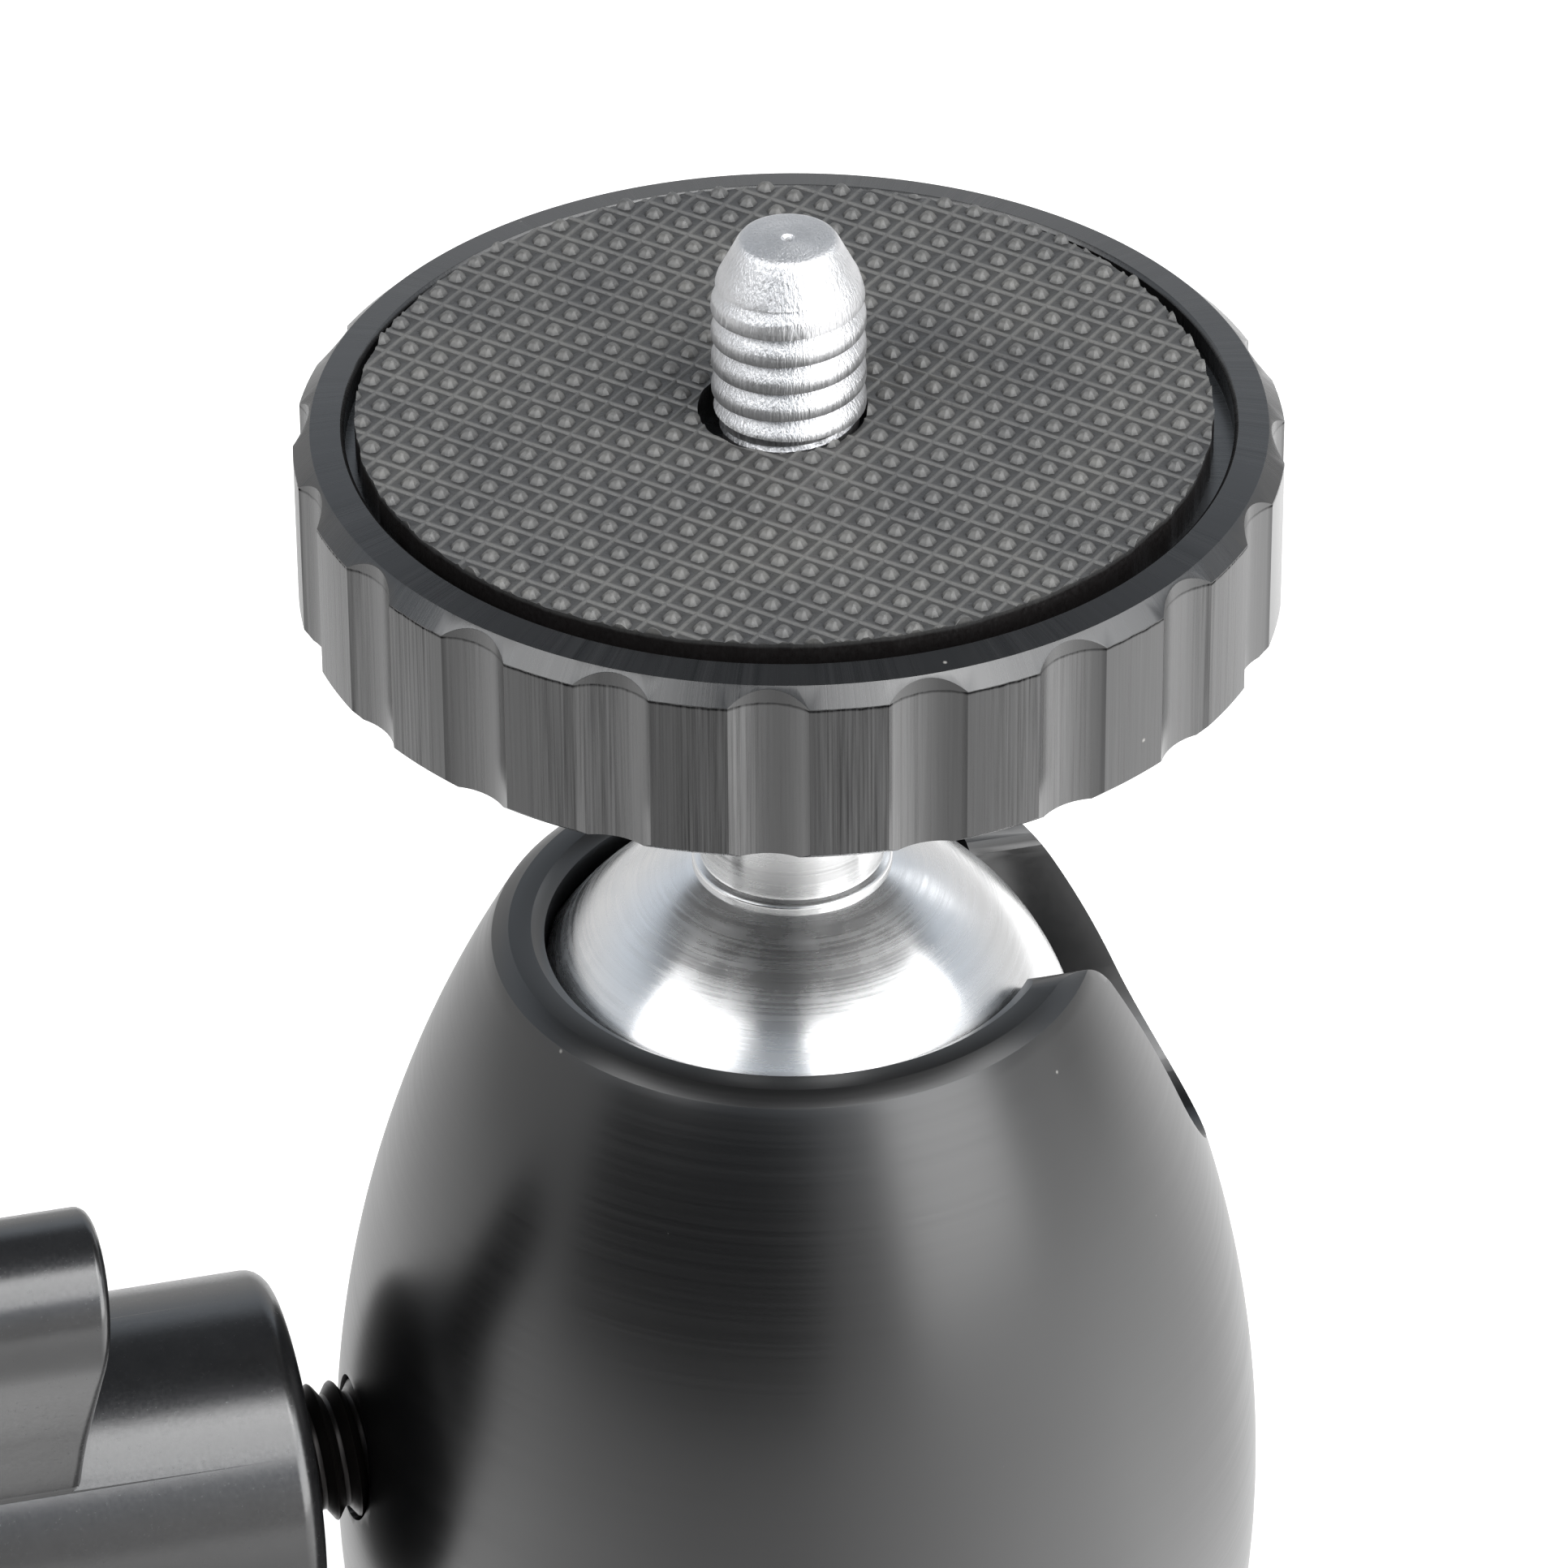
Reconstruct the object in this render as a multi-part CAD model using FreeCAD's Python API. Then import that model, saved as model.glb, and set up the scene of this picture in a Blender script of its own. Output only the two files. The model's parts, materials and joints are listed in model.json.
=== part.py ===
"""Mini ball head: a clamped ball with a fluted platform disc, a drop notch and a T-handle lock.

Millimetres, +Z up. The origin is the centre of the base, at the mouth of the tripod thread.
The lock handle points along -X and the drop notch opens along +X.
Each function makes one separate piece, and the end of the file writes them all.
"""
import FreeCAD, Part
import math
import os

V = FreeCAD.Vector

# Main sizes
ball_centre_height = 40.0
ball_radius = 12.4
disc_radius = 20.16
disc_thickness = 8.05
disc_bottom_above_ball = 25.5
overrun = 1.0

# Fits and seats
seat_fit = 0.05
liner_fit = 0.03
running_fit = 0.05
sliding_fit = 0.08
press_gap = 0.02
face_gap = 0.05

# Housing
housing_wall = 6.55
housing_equator_share = 0.4925
lip_above_equator_deg = 32.93
rim_wall_height = 1.23
rim_inner_bevel = 0.55
rim_inner_bevel_rise = 0.4
rim_flat_width = 0.95
rim_outer_bevel = 0.72
rim_outer_bevel_drop = 0.45
seat_step_above_ball = 0.8
bore_gap = 0.35
base_chamfer = 0.6

# Drop notch
notch_clearance = 1.175
notch_corner_radius = 2.2

# Neck of the ball
neck_radius = 3.825
neck_foot_step = 0.375
neck_foot_height = 0.55
neck_entry = 1.35
neck_end_chamfer = 0.3

# Platform disc
disc_top_chamfer = 0.7
disc_ring_fall = 0.18
disc_bottom_chamfer = 0.3
flute_count = 20
flute_width = 3.0
flute_depth = 0.6
flute_phase_deg = 3.0
disc_ring_width = 2.1
pad_recess_depth = 1.2

# Rubber pad
pad_edge_gap = 0.61
pad_thickness = 1.9
pad_hole_gap = 0.45
pad_offset = 0.2

# Camera stud, quarter inch with twenty threads to the inch
stud_radius = 3.15
stud_above_pad = 7.5
stud_tip_width = 1.22
stud_tip_height = 1.45
stud_centre_mark_radius = 0.45
stud_relief_depth = 0.3
stud_shoulder = 0.65
stud_shank_length = 13.0

# Lock washer under the disc
washer_thickness = 0.6

# Liner between ball and pressure block
liner_thickness = 0.72
liner_mouth_deg = 34.0
liner_rim_deg = 60.0

# Pressure block
block_rim_drop = 0.42
block_bore_gap = 0.4
block_bore_reach = 5.0
block_relief_gap = 0.5
block_relief_depth = 3.3
block_groove_depth = 1.4
block_lift_gap = 0.25
block_below_screw = 8.15

# Lock screw, M6
screw_radius = 3.0
screw_below_ball = 0.3
screw_end_gap = 3.0
screw_in_knob = 11.0
screw_hole_clearance = 0.15
screw_groove_depth = 0.4

# Thrust tip
tip_step = 0.1
tip_nose_radius = 0.7
tip_seat_gap = 0.1
tip_spigot_radius = 1.2
tip_spigot_length = 3.0

# Threaded bush in the housing wall
bush_wall = 1.5
bush_cover = 1.88
bush_setback = 0.3

# Captive ring on the screw
ring_rise = 1.3
ring_thickness = 0.7
lock_travel = 1.5
ring_stop_gap = 0.1

# Lock handle
hub_radius = 8.26
handle_gap = 2.49
hub_length = 11.27
hub_edge_radius = 1.0
wing_thickness = 7.48
wing_lean_deg = 6.9
wing_half_length = 20.15
wing_tip_radius = 3.75
wing_waist_half_width = 3.5
wing_angle_deg = 67.5
wing_edge_radius = 0.8
hub_end_depth = 1.6
pin_radius = 1.0
pin_from_hub_face = 4.2
pin_past_screw = 1.2

# Base plug
base_wall = 2.1
spanner_hole_radius = 1.25
spanner_hole_share = 0.5
spanner_hole_depth = 3.0
plug_edge_chamfer = 0.4

# Tripod bush, three eighths outside and a quarter inch inside
bush_thread_radius = 4.74
tripod_bush_setback = 3.5
tripod_hole_radius = 2.6
tripod_edge_chamfer = 0.5
driver_slot_width = 1.2
driver_slot_depth = 1.1

# Grub screws that lock the plug
grub_count = 3
grub_radius = 1.5
grub_length = 3.6
grub_height_share = 0.4
grub_first_deg = 90.0
grub_bite = 1.4
grub_socket_radius = 0.8
grub_socket_depth = 1.2

# Springs and shim
shim_thickness = 0.8
shim_inner_gap = 0.44
shim_outer_gap = 0.7
spring_count = 2
spring_inner_step = 0.2
spring_outer_step = 1.3
spring_thickness = 0.6
spring_height = 1.3

# Guide pin of the pressure block
guide_pin_radius = 1.0
guide_pin_length = 3.0
guide_pin_above_block = 3.2

# Heights and places that follow from the sizes above
disc_bottom = ball_centre_height + disc_bottom_above_ball
disc_top = disc_bottom + disc_thickness
recess_floor = disc_top - pad_recess_depth
pad_recess_radius = disc_radius - disc_ring_width
pad_radius = pad_recess_radius - pad_edge_gap
pad_top = recess_floor + pad_thickness
stud_top = pad_top + stud_above_pad
stud_shank_radius = stud_radius - stud_shoulder
washer_seat = disc_bottom + neck_entry + face_gap + washer_thickness
neck_foot_radius = neck_radius + neck_foot_step
notch_half_width = neck_radius + notch_clearance

seat_radius = ball_radius + seat_fit
lip_radius = seat_radius * math.cos(math.radians(lip_above_equator_deg))
lip_above_ball = seat_radius * math.sin(math.radians(lip_above_equator_deg))
rim_flat_inner_radius = lip_radius + rim_inner_bevel
rim_flat_outer_radius = rim_flat_inner_radius + rim_flat_width
rim_outer_radius = rim_flat_outer_radius + rim_outer_bevel
rim_wall_top_above_ball = lip_above_ball + rim_wall_height
rim_top_above_ball = rim_wall_top_above_ball + rim_inner_bevel_rise
rim_edge_above_ball = rim_top_above_ball - rim_outer_bevel_drop

liner_inner_radius = ball_radius + liner_fit
liner_outer_radius = liner_inner_radius + liner_thickness
housing_bore_radius = liner_outer_radius + bore_gap
housing_equator_radius = housing_bore_radius + housing_wall
equator_height = ball_centre_height * housing_equator_share

block_seat_radius = liner_outer_radius + seat_fit
block_radius = housing_bore_radius - sliding_fit
block_rim_below_ball = liner_outer_radius * math.cos(math.radians(liner_rim_deg)) + block_rim_drop
screw_height = ball_centre_height - ball_radius - screw_below_ball - screw_radius
block_bottom = screw_height - block_below_screw
block_bore_radius = screw_radius + block_bore_gap
screw_inner_end = block_bore_reach - screw_end_gap
screw_groove_radius = screw_radius - screw_groove_depth
tip_radius = screw_radius - tip_step

spring_top = block_bottom - block_lift_gap
shim_top = spring_top - spring_count * spring_height
plug_thickness = shim_top - shim_thickness
tripod_bush_length = plug_thickness - tripod_bush_setback
plug_thread_radius = bush_thread_radius + press_gap
grub_height = plug_thickness * grub_height_share
shim_inner_radius = plug_thread_radius + shim_inner_gap
shim_outer_radius = housing_bore_radius - shim_outer_gap
spring_inner_radius = shim_inner_radius + spring_inner_step
spring_outer_radius = shim_outer_radius - spring_outer_step


def revolved(edges):
    """A solid of revolution about Z from the edges of a closed outline in the XZ plane."""
    face = Part.Face(Part.Wire(edges))
    return face.revolve(V(0, 0, 0), V(0, 0, 1), 360)


def line(a, b):
    """A straight edge between two places in the XZ plane, each given as radius and height."""
    return Part.LineSegment(V(a[0], 0, a[1]), V(b[0], 0, b[1])).toShape()


def arc(a, middle, b):
    """A round edge through three places in the XZ plane."""
    points = [V(p[0], 0, p[1]) for p in (a, middle, b)]
    return Part.Arc(*points).toShape()


def outline(points):
    """The straight edges of a closed outline in the XZ plane."""
    return [line(a, b) for a, b in zip(points, points[1:] + points[:1])]


def ring(inner, outer, low, high):
    """A plain ring about Z."""
    return revolved(outline([(inner, low), (outer, low), (outer, high), (inner, high)]))


def rod_x(radius, start, end, height):
    """A round bar along X from start to end."""
    return Part.makeCylinder(radius, end - start, V(start, 0, height), V(1, 0, 0))


def on_sphere(radius, degrees_from_bottom):
    """Radius and height of a place on a sphere about the ball's centre."""
    turn = math.radians(degrees_from_bottom)
    return radius * math.sin(turn), ball_centre_height - radius * math.cos(turn)


def sphere_height(radius, from_axis):
    """How far above its centre a sphere's surface is, at a distance from its axis."""
    return math.sqrt(radius * radius - from_axis * from_axis)


def side_arc_radius():
    """The radius of the housing's side, which is upright at the equator and meets the rim."""
    inward = housing_equator_radius - rim_outer_radius
    upward = ball_centre_height + rim_edge_above_ball - equator_height
    return (inward * inward + upward * upward) / (inward + inward)


def housing_side(height):
    """The radius of the housing's side at a height."""
    bend = side_arc_radius()
    return housing_equator_radius - bend + sphere_height(bend, height - equator_height)


# Places that follow from the housing's side
housing_side_at_screw = housing_side(screw_height)
plug_radius = housing_side(0) - base_wall
spanner_hole_offset = (plug_radius + plug_thread_radius) * spanner_hole_share
bush_radius = screw_radius + bush_wall
bush_inner_face = housing_bore_radius - bush_setback
bush_length = housing_side_at_screw - bush_cover - bush_inner_face
block_relief_radius = bush_radius + block_relief_gap
ring_outer_radius = screw_radius + ring_rise
ring_face = bush_inner_face - ring_stop_gap - lock_travel
hub_inner_face = housing_side_at_screw + handle_gap
wing_inner_face = hub_inner_face + hub_length
hub_end = wing_inner_face + wing_thickness - hub_end_depth
pin_x = hub_inner_face + pin_from_hub_face


def hex_socket(radius, depth):
    """A six-sided hole along X that starts at the origin and goes towards -X."""
    corners = []
    for side in range(6):
        turn = math.radians(60 * side)
        corners.append(V(0, radius * math.cos(turn), radius * math.sin(turn)))
    face = Part.Face(Part.makePolygon(corners + corners[:1]))
    return face.extrude(V(-depth, 0, 0))


def notch_cutter():
    """The U-shaped notch with flared corners at the rim, cut from the axis outwards to +X."""
    width = notch_half_width
    corner = notch_corner_radius
    middle = ball_centre_height
    top = ball_centre_height + rim_top_above_ball
    mouth = width + corner
    corner_start = top - corner
    inset = corner * (1 - math.cos(math.radians(45)))
    rise = corner * math.sin(math.radians(45))

    def place(across, height):
        return V(0, across, height)

    edges = [
        Part.Arc(place(-width, middle), place(0, middle - width), place(width, middle)),
        Part.LineSegment(place(width, middle), place(width, corner_start)),
        Part.Arc(
            place(width, corner_start),
            place(width + inset, corner_start + rise),
            place(mouth, top),
        ),
        Part.LineSegment(place(mouth, top), place(mouth, top + overrun)),
        Part.LineSegment(place(mouth, top + overrun), place(-mouth, top + overrun)),
        Part.LineSegment(place(-mouth, top + overrun), place(-mouth, top)),
        Part.Arc(
            place(-mouth, top),
            place(-width - inset, corner_start + rise),
            place(-width, corner_start),
        ),
        Part.LineSegment(place(-width, corner_start), place(-width, middle)),
    ]
    face = Part.Face(Part.Wire([edge.toShape() for edge in edges]))
    return face.extrude(V(housing_equator_radius + overrun, 0, 0))


def housing():
    """The egg-shaped body with the ball seat, the bore, the drop notch and the screw hole."""
    centre = ball_centre_height
    rim_edge = centre + rim_edge_above_ball
    rim_top = centre + rim_top_above_ball
    step = centre + seat_step_above_ball
    equator = (housing_equator_radius, equator_height)
    foot = (housing_side(base_chamfer), base_chamfer)
    lip = (lip_radius, centre + lip_above_ball)
    wall_top = (lip_radius, centre + rim_wall_top_above_ball)
    lip_deg = 90 + lip_above_equator_deg
    step_deg = 90 + math.degrees(math.asin(seat_step_above_ball / seat_radius))
    seat_foot = on_sphere(seat_radius, step_deg)
    plug_hole = plug_radius + press_gap
    edges = [
        line((plug_hole, 0), (foot[0] - base_chamfer, 0)),
        line((foot[0] - base_chamfer, 0), foot),
        arc(foot, equator, (rim_outer_radius, rim_edge)),
        line((rim_outer_radius, rim_edge), (rim_flat_outer_radius, rim_top)),
        line((rim_flat_outer_radius, rim_top), (rim_flat_inner_radius, rim_top)),
        line((rim_flat_inner_radius, rim_top), wall_top),
        line(wall_top, lip),
        arc(lip, on_sphere(seat_radius, (lip_deg + step_deg) / 2), seat_foot),
        line(seat_foot, (housing_bore_radius, step)),
        line((housing_bore_radius, step), (housing_bore_radius, plug_thickness)),
        line((housing_bore_radius, plug_thickness), (plug_hole, plug_thickness)),
        line((plug_hole, plug_thickness), (plug_hole, 0)),
    ]
    body = revolved(edges)
    outside = housing_equator_radius + overrun
    hole = rod_x(screw_radius + screw_hole_clearance, -outside, 0, screw_height)
    pocket = rod_x(bush_radius + press_gap, -bush_inner_face - bush_length, 0, screw_height)
    body = body.cut([notch_cutter(), hole, pocket, guide_pin_shape(press_gap)])
    for grub in grub_places(grub_radius + press_gap, outside):
        body = body.cut(grub)
    return body


def ball_and_neck():
    """The ball and its neck, turned from one bar, with a threaded hole for the stud."""
    centre = ball_centre_height
    top = disc_bottom + neck_entry
    foot = centre + sphere_height(ball_radius, neck_foot_radius)
    ball = Part.makeSphere(ball_radius, V(0, 0, centre))
    neck = revolved(
        outline(
            [
                (0, centre),
                (neck_foot_radius, centre),
                (neck_foot_radius, foot),
                (neck_radius, foot + neck_foot_height),
                (neck_radius, top - neck_end_chamfer),
                (neck_radius - neck_end_chamfer, top),
                (0, top),
            ]
        )
    )
    hole_radius = stud_shank_radius + running_fit
    hole_bottom = recess_floor - stud_shank_length - face_gap
    hole = Part.makeCylinder(hole_radius, top + overrun - hole_bottom, V(0, 0, hole_bottom))
    return ball.fuse(neck).removeSplitter().cut(hole)


def flute_cutter():
    """One upright round flute at the disc's edge, on the +X side."""
    half = flute_width / 2
    rim = math.sqrt(disc_radius * disc_radius - half * half)
    sagitta = flute_depth - (disc_radius - rim)
    radius = (half * half + sagitta * sagitta) / (sagitta + sagitta)
    centre = disc_radius - flute_depth + radius
    height = disc_thickness + overrun + overrun
    return Part.makeCylinder(radius, height, V(centre, 0, disc_bottom - overrun))


def platform_disc():
    """The fluted disc with a recess for the pad and a counterbore for the neck."""
    ring_edge = disc_top - disc_ring_fall
    blank = revolved(
        outline(
            [
                (0, disc_bottom),
                (disc_radius - disc_bottom_chamfer, disc_bottom),
                (disc_radius, disc_bottom + disc_bottom_chamfer),
                (disc_radius, ring_edge - disc_top_chamfer),
                (disc_radius - disc_top_chamfer, ring_edge),
                (pad_recess_radius, disc_top),
                (pad_recess_radius, recess_floor),
                (0, recess_floor),
            ]
        )
    )
    shank_hole = stud_shank_radius + running_fit
    through = Part.makeCylinder(shank_hole, disc_thickness + overrun, V(0, 0, disc_bottom))
    entry_depth = washer_seat - disc_bottom + overrun
    entry_start = V(0, 0, disc_bottom - overrun)
    entry = Part.makeCylinder(neck_radius + running_fit, entry_depth, entry_start)
    cuts = [through, entry]
    for number in range(flute_count):
        cutter = flute_cutter()
        turn = flute_phase_deg + 360 * number / flute_count
        cutter.rotate(V(0, 0, 0), V(0, 0, 1), turn)
        cuts.append(cutter)
    return blank.cut(cuts)


def platform_pad():
    """The rubber pad, glued in the recess a little off centre, with a hole round the stud."""
    pad = ring(stud_radius + pad_hole_gap, pad_radius, recess_floor, pad_top)
    pad.translate(V(-pad_offset, 0, 0))
    return pad


def camera_stud():
    """The stepped stud: its shank holds the disc to the neck, its upper end takes the camera."""
    mark = stud_centre_mark_radius
    relief = stud_radius - stud_relief_depth
    shank_end = recess_floor - stud_shank_length
    return revolved(
        outline(
            [
                (0, shank_end),
                (stud_shank_radius, shank_end),
                (stud_shank_radius, recess_floor),
                (relief, recess_floor),
                (relief, pad_top),
                (stud_radius, pad_top),
                (stud_radius, stud_top - stud_tip_height),
                (stud_radius - stud_tip_width, stud_top),
                (mark, stud_top),
                (0, stud_top - mark),
            ]
        )
    )


def platform_lock_washer():
    """The thin washer between the neck's end and the disc."""
    inner = stud_shank_radius + running_fit
    return ring(inner, neck_radius, washer_seat - washer_thickness, washer_seat)


def seat_liner():
    """The thin spherical ring that the ball turns on, between ball and pressure block."""
    middle_deg = (liner_mouth_deg + liner_rim_deg) / 2
    inner = [on_sphere(liner_inner_radius, turn) for turn in (liner_mouth_deg, middle_deg, liner_rim_deg)]
    outer = [on_sphere(liner_outer_radius, turn) for turn in (liner_mouth_deg, middle_deg, liner_rim_deg)]
    edges = [arc(*inner), line(inner[2], outer[2]), arc(*outer), line(outer[0], inner[0])]
    return revolved(edges)


def pressure_block():
    """The block that the screw's tip wedges upwards against the liner and the ball."""
    centre = ball_centre_height
    top = centre - block_rim_below_ball
    solid = Part.makeCylinder(block_radius, top - block_bottom, V(0, 0, block_bottom))
    seat = Part.makeSphere(block_seat_radius, V(0, 0, centre))
    bore = rod_x(block_bore_radius, -block_radius - overrun, block_bore_reach, screw_height)
    cone = Part.makeCone(
        block_bore_radius,
        tip_nose_radius,
        block_bore_radius - tip_nose_radius,
        V(block_bore_reach, 0, screw_height),
        V(1, 0, 0),
    )
    relief_end = block_relief_depth - block_radius
    relief = rod_x(block_relief_radius, -block_radius - overrun, relief_end, screw_height)
    groove_half = guide_pin_radius + sliding_fit
    groove = Part.makeBox(
        groove_half + groove_half,
        block_groove_depth + overrun,
        top - block_bottom + overrun + overrun,
        V(-groove_half, block_radius - block_groove_depth, block_bottom - overrun),
    )
    return solid.cut([seat, bore, cone, relief, groove])


def guide_pin_shape(gap):
    """The round of the guide pin along Y, larger by a gap all over."""
    inner_end = block_radius - block_groove_depth + face_gap - gap
    height = block_bottom + guide_pin_above_block
    return Part.makeCylinder(
        guide_pin_radius + gap, guide_pin_length + gap + gap, V(0, inner_end, height), V(0, 1, 0)
    )


def block_guide_pin():
    """The pin in the housing wall that keeps the pressure block from turning."""
    return guide_pin_shape(0)


def disc_springs():
    """Coned spring washers, stacked edge to edge, that keep a light drag on the ball."""
    springs = []
    for number in range(spring_count):
        low = shim_top + number * spring_height
        high = low + spring_height
        flip = number % 2
        inner_high = low + spring_thickness if flip else high - press_gap
        outer_high = high if flip else low + spring_thickness
        inner_low = inner_high - spring_thickness + (press_gap if flip else 0)
        outer_low = outer_high - spring_thickness
        spring = revolved(
            outline(
                [
                    (spring_inner_radius, inner_low),
                    (spring_outer_radius, outer_low),
                    (spring_outer_radius, outer_high),
                    (spring_inner_radius, inner_high),
                ]
            )
        )
        springs.append(spring)
    return Part.makeCompound(springs)


def spring_shim():
    """The flat shim that the springs stand on."""
    return ring(shim_inner_radius, shim_outer_radius, plug_thickness, shim_top)


def lock_screw():
    """The M6 screw, with a groove for its captive ring and a hole for the thrust tip."""
    start = -hub_inner_face - screw_in_knob
    screw = rod_x(screw_radius, start, screw_inner_end, screw_height)
    groove_blank = rod_x(screw_radius + overrun, -ring_face, -ring_face + ring_thickness, screw_height)
    groove_core = rod_x(screw_groove_radius, -ring_face, -ring_face + ring_thickness, screw_height)
    hole_start = screw_inner_end - tip_spigot_length - face_gap
    hole = rod_x(
        tip_spigot_radius + running_fit, hole_start, screw_inner_end + overrun, screw_height
    )
    return screw.cut([groove_blank.cut(groove_core), hole, knob_pin_shape(press_gap)])


def captive_ring():
    """The split ring on the screw that stops it from coming right out."""
    start = -ring_face
    whole = rod_x(ring_outer_radius, start, start + ring_thickness, screw_height)
    hole = rod_x(screw_groove_radius + press_gap, start, start + ring_thickness, screw_height)
    split = Part.makeBox(
        ring_thickness,
        screw_groove_radius + screw_groove_radius - ring_thickness,
        ring_outer_radius + overrun,
        V(start, ring_thickness / 2 - screw_groove_radius, screw_height),
    )
    return whole.cut([hole, split])


def thrust_tip():
    """The hard cone on the screw's nose, which doesn't turn when it meets the block."""
    start = screw_inner_end + face_gap
    seat_offset = tip_seat_gap * math.sqrt(2)
    cone_start = block_bore_reach + block_bore_radius - tip_radius - seat_offset
    body = rod_x(tip_radius, start, cone_start, screw_height)
    cone = Part.makeCone(
        tip_radius,
        tip_nose_radius,
        tip_radius - tip_nose_radius,
        V(cone_start, 0, screw_height),
        V(1, 0, 0),
    )
    spigot_start = screw_inner_end - tip_spigot_length
    spigot = rod_x(tip_spigot_radius, spigot_start, start, screw_height)
    return body.fuse([cone, spigot]).removeSplitter()


def screw_bush():
    """The threaded bush pressed into the housing wall from inside."""
    start = -bush_inner_face - bush_length
    outer = rod_x(bush_radius, start, -bush_inner_face, screw_height)
    inner = rod_x(screw_radius + running_fit, start, -bush_inner_face, screw_height)
    return outer.cut(inner)


def half_wing_outline():
    """Half of the wing's outline in the YZ plane: from the middle to one round tip and back."""
    tip = wing_tip_radius
    tip_centre = wing_half_length - tip
    waist = wing_waist_half_width
    flank_radius = (tip_centre**2 + (tip - waist) ** 2) / (2 * (tip - waist))
    halfway = tip_centre / 2
    halfway_width = waist + flank_radius - math.sqrt(flank_radius**2 - halfway**2)

    def place(along, across):
        return V(0, along, screw_height + across)

    edges = [
        Part.LineSegment(place(0, -waist), place(0, waist)),
        Part.Arc(place(0, waist), place(halfway, halfway_width), place(tip_centre, tip)),
        Part.Arc(place(tip_centre, tip), place(wing_half_length, 0), place(tip_centre, -tip)),
        Part.Arc(place(tip_centre, -tip), place(halfway, -halfway_width), place(0, -waist)),
    ]
    return Part.Wire([edge.toShape() for edge in edges])


def half_wing():
    """Half a wing along +Y with its inner face leaning towards the housing at the tip."""
    reach = wing_half_length + overrun
    rise = reach * math.tan(math.radians(wing_lean_deg))
    low = screw_height - hub_radius
    face = Part.Face(half_wing_outline())
    face.translate(V(rise, 0, 0))
    plate = face.extrude(V(-wing_thickness - rise, 0, 0))
    corners = [
        V(0, 0, low),
        V(rise, reach, low),
        V(rise + overrun, reach, low),
        V(rise + overrun, 0, low),
    ]
    wedge = Part.Face(Part.makePolygon(corners + corners[:1])).extrude(V(0, 0, 2 * hub_radius))
    plate = plate.cut(wedge)
    edges = []
    for edge in plate.Edges:
        first, last = edge.Vertexes[0].Point, edge.Vertexes[-1].Point
        through = abs(first.x - last.x) > wing_thickness / 2
        in_the_middle = max(abs(first.y), abs(last.y)) < overrun
        if not through and not in_the_middle:
            edges.append(edge)
    return plate.makeFillet(wing_edge_radius, edges)


def lock_knob():
    """The T-handle: a round hub with a wing across its outer end."""
    axis_point = V(0, 0, screw_height)
    hub = rod_x(hub_radius, -hub_end, -hub_inner_face, screw_height)
    hub = hub.makeFillet(hub_edge_radius, hub.Edges)
    half = half_wing()
    wing = half.fuse(half.mirror(V(0, 0, 0), V(0, 1, 0))).removeSplitter()
    wing.translate(V(-wing_inner_face, 0, 0))
    wing.rotate(axis_point, V(1, 0, 0), 180 - wing_angle_deg)
    start = -hub_inner_face - screw_in_knob - face_gap
    hole = rod_x(screw_radius + press_gap, start, 0, screw_height)
    return hub.fuse(wing).removeSplitter().cut([hole, knob_pin_shape(press_gap)])


def knob_pin_shape(gap):
    """The round of the cross pin, entering the hub from the side of the wing's flank."""
    start = -screw_radius - pin_past_screw - gap
    pin = Part.makeCylinder(
        pin_radius + gap,
        hub_radius - hub_edge_radius / 2 - start + gap,
        V(-pin_x, start, screw_height),
        V(0, 1, 0),
    )
    pin.rotate(V(0, 0, screw_height), V(1, 0, 0), 90 - wing_angle_deg)
    return pin


def knob_pin():
    """The cross pin that fixes the handle to the screw."""
    return knob_pin_shape(0)


def base_plug():
    """The threaded plug that closes the housing from below and carries the tripod thread."""
    plug = revolved(
        outline(
            [
                (plug_thread_radius, 0),
                (plug_radius - plug_edge_chamfer, 0),
                (plug_radius, plug_edge_chamfer),
                (plug_radius, plug_thickness),
                (plug_thread_radius, plug_thickness),
            ]
        )
    )
    cuts = []
    for side in (-1, 1):
        cuts.append(
            Part.makeCylinder(
                spanner_hole_radius,
                spanner_hole_depth + overrun,
                V(side * spanner_hole_offset, 0, -overrun),
            )
        )
    cuts.extend(grub_places(grub_radius + press_gap, plug_radius + overrun))
    return plug.cut(cuts)


def tripod_bush():
    """The reducer in the plug: three-eighths thread outside, quarter-inch thread inside."""
    hole = tripod_hole_radius
    chamfer = tripod_edge_chamfer
    bush = revolved(
        outline(
            [
                (hole, 0),
                (bush_thread_radius - chamfer, 0),
                (bush_thread_radius, chamfer),
                (bush_thread_radius, tripod_bush_length),
                (hole, tripod_bush_length),
            ]
        )
    )
    slot = Part.makeBox(
        driver_slot_width,
        bush_thread_radius + bush_thread_radius + overrun,
        driver_slot_depth + overrun,
        V(-driver_slot_width / 2, -bush_thread_radius - overrun / 2, -overrun),
    )
    return bush.cut(slot)


def grub_inner_end():
    """How far from the axis the grub screws end, inside the plug."""
    return plug_radius - grub_bite


def grub_places(radius, reach):
    """Round bars where the grub screws go, from their inner ends to a reach from the axis."""
    bars = []
    inner = grub_inner_end() - press_gap
    for number in range(grub_count):
        bar = rod_x(radius, inner, reach, grub_height)
        bar.rotate(V(0, 0, 0), V(0, 0, 1), grub_first_deg + 360 * number / grub_count)
        bars.append(bar)
    return bars


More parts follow.
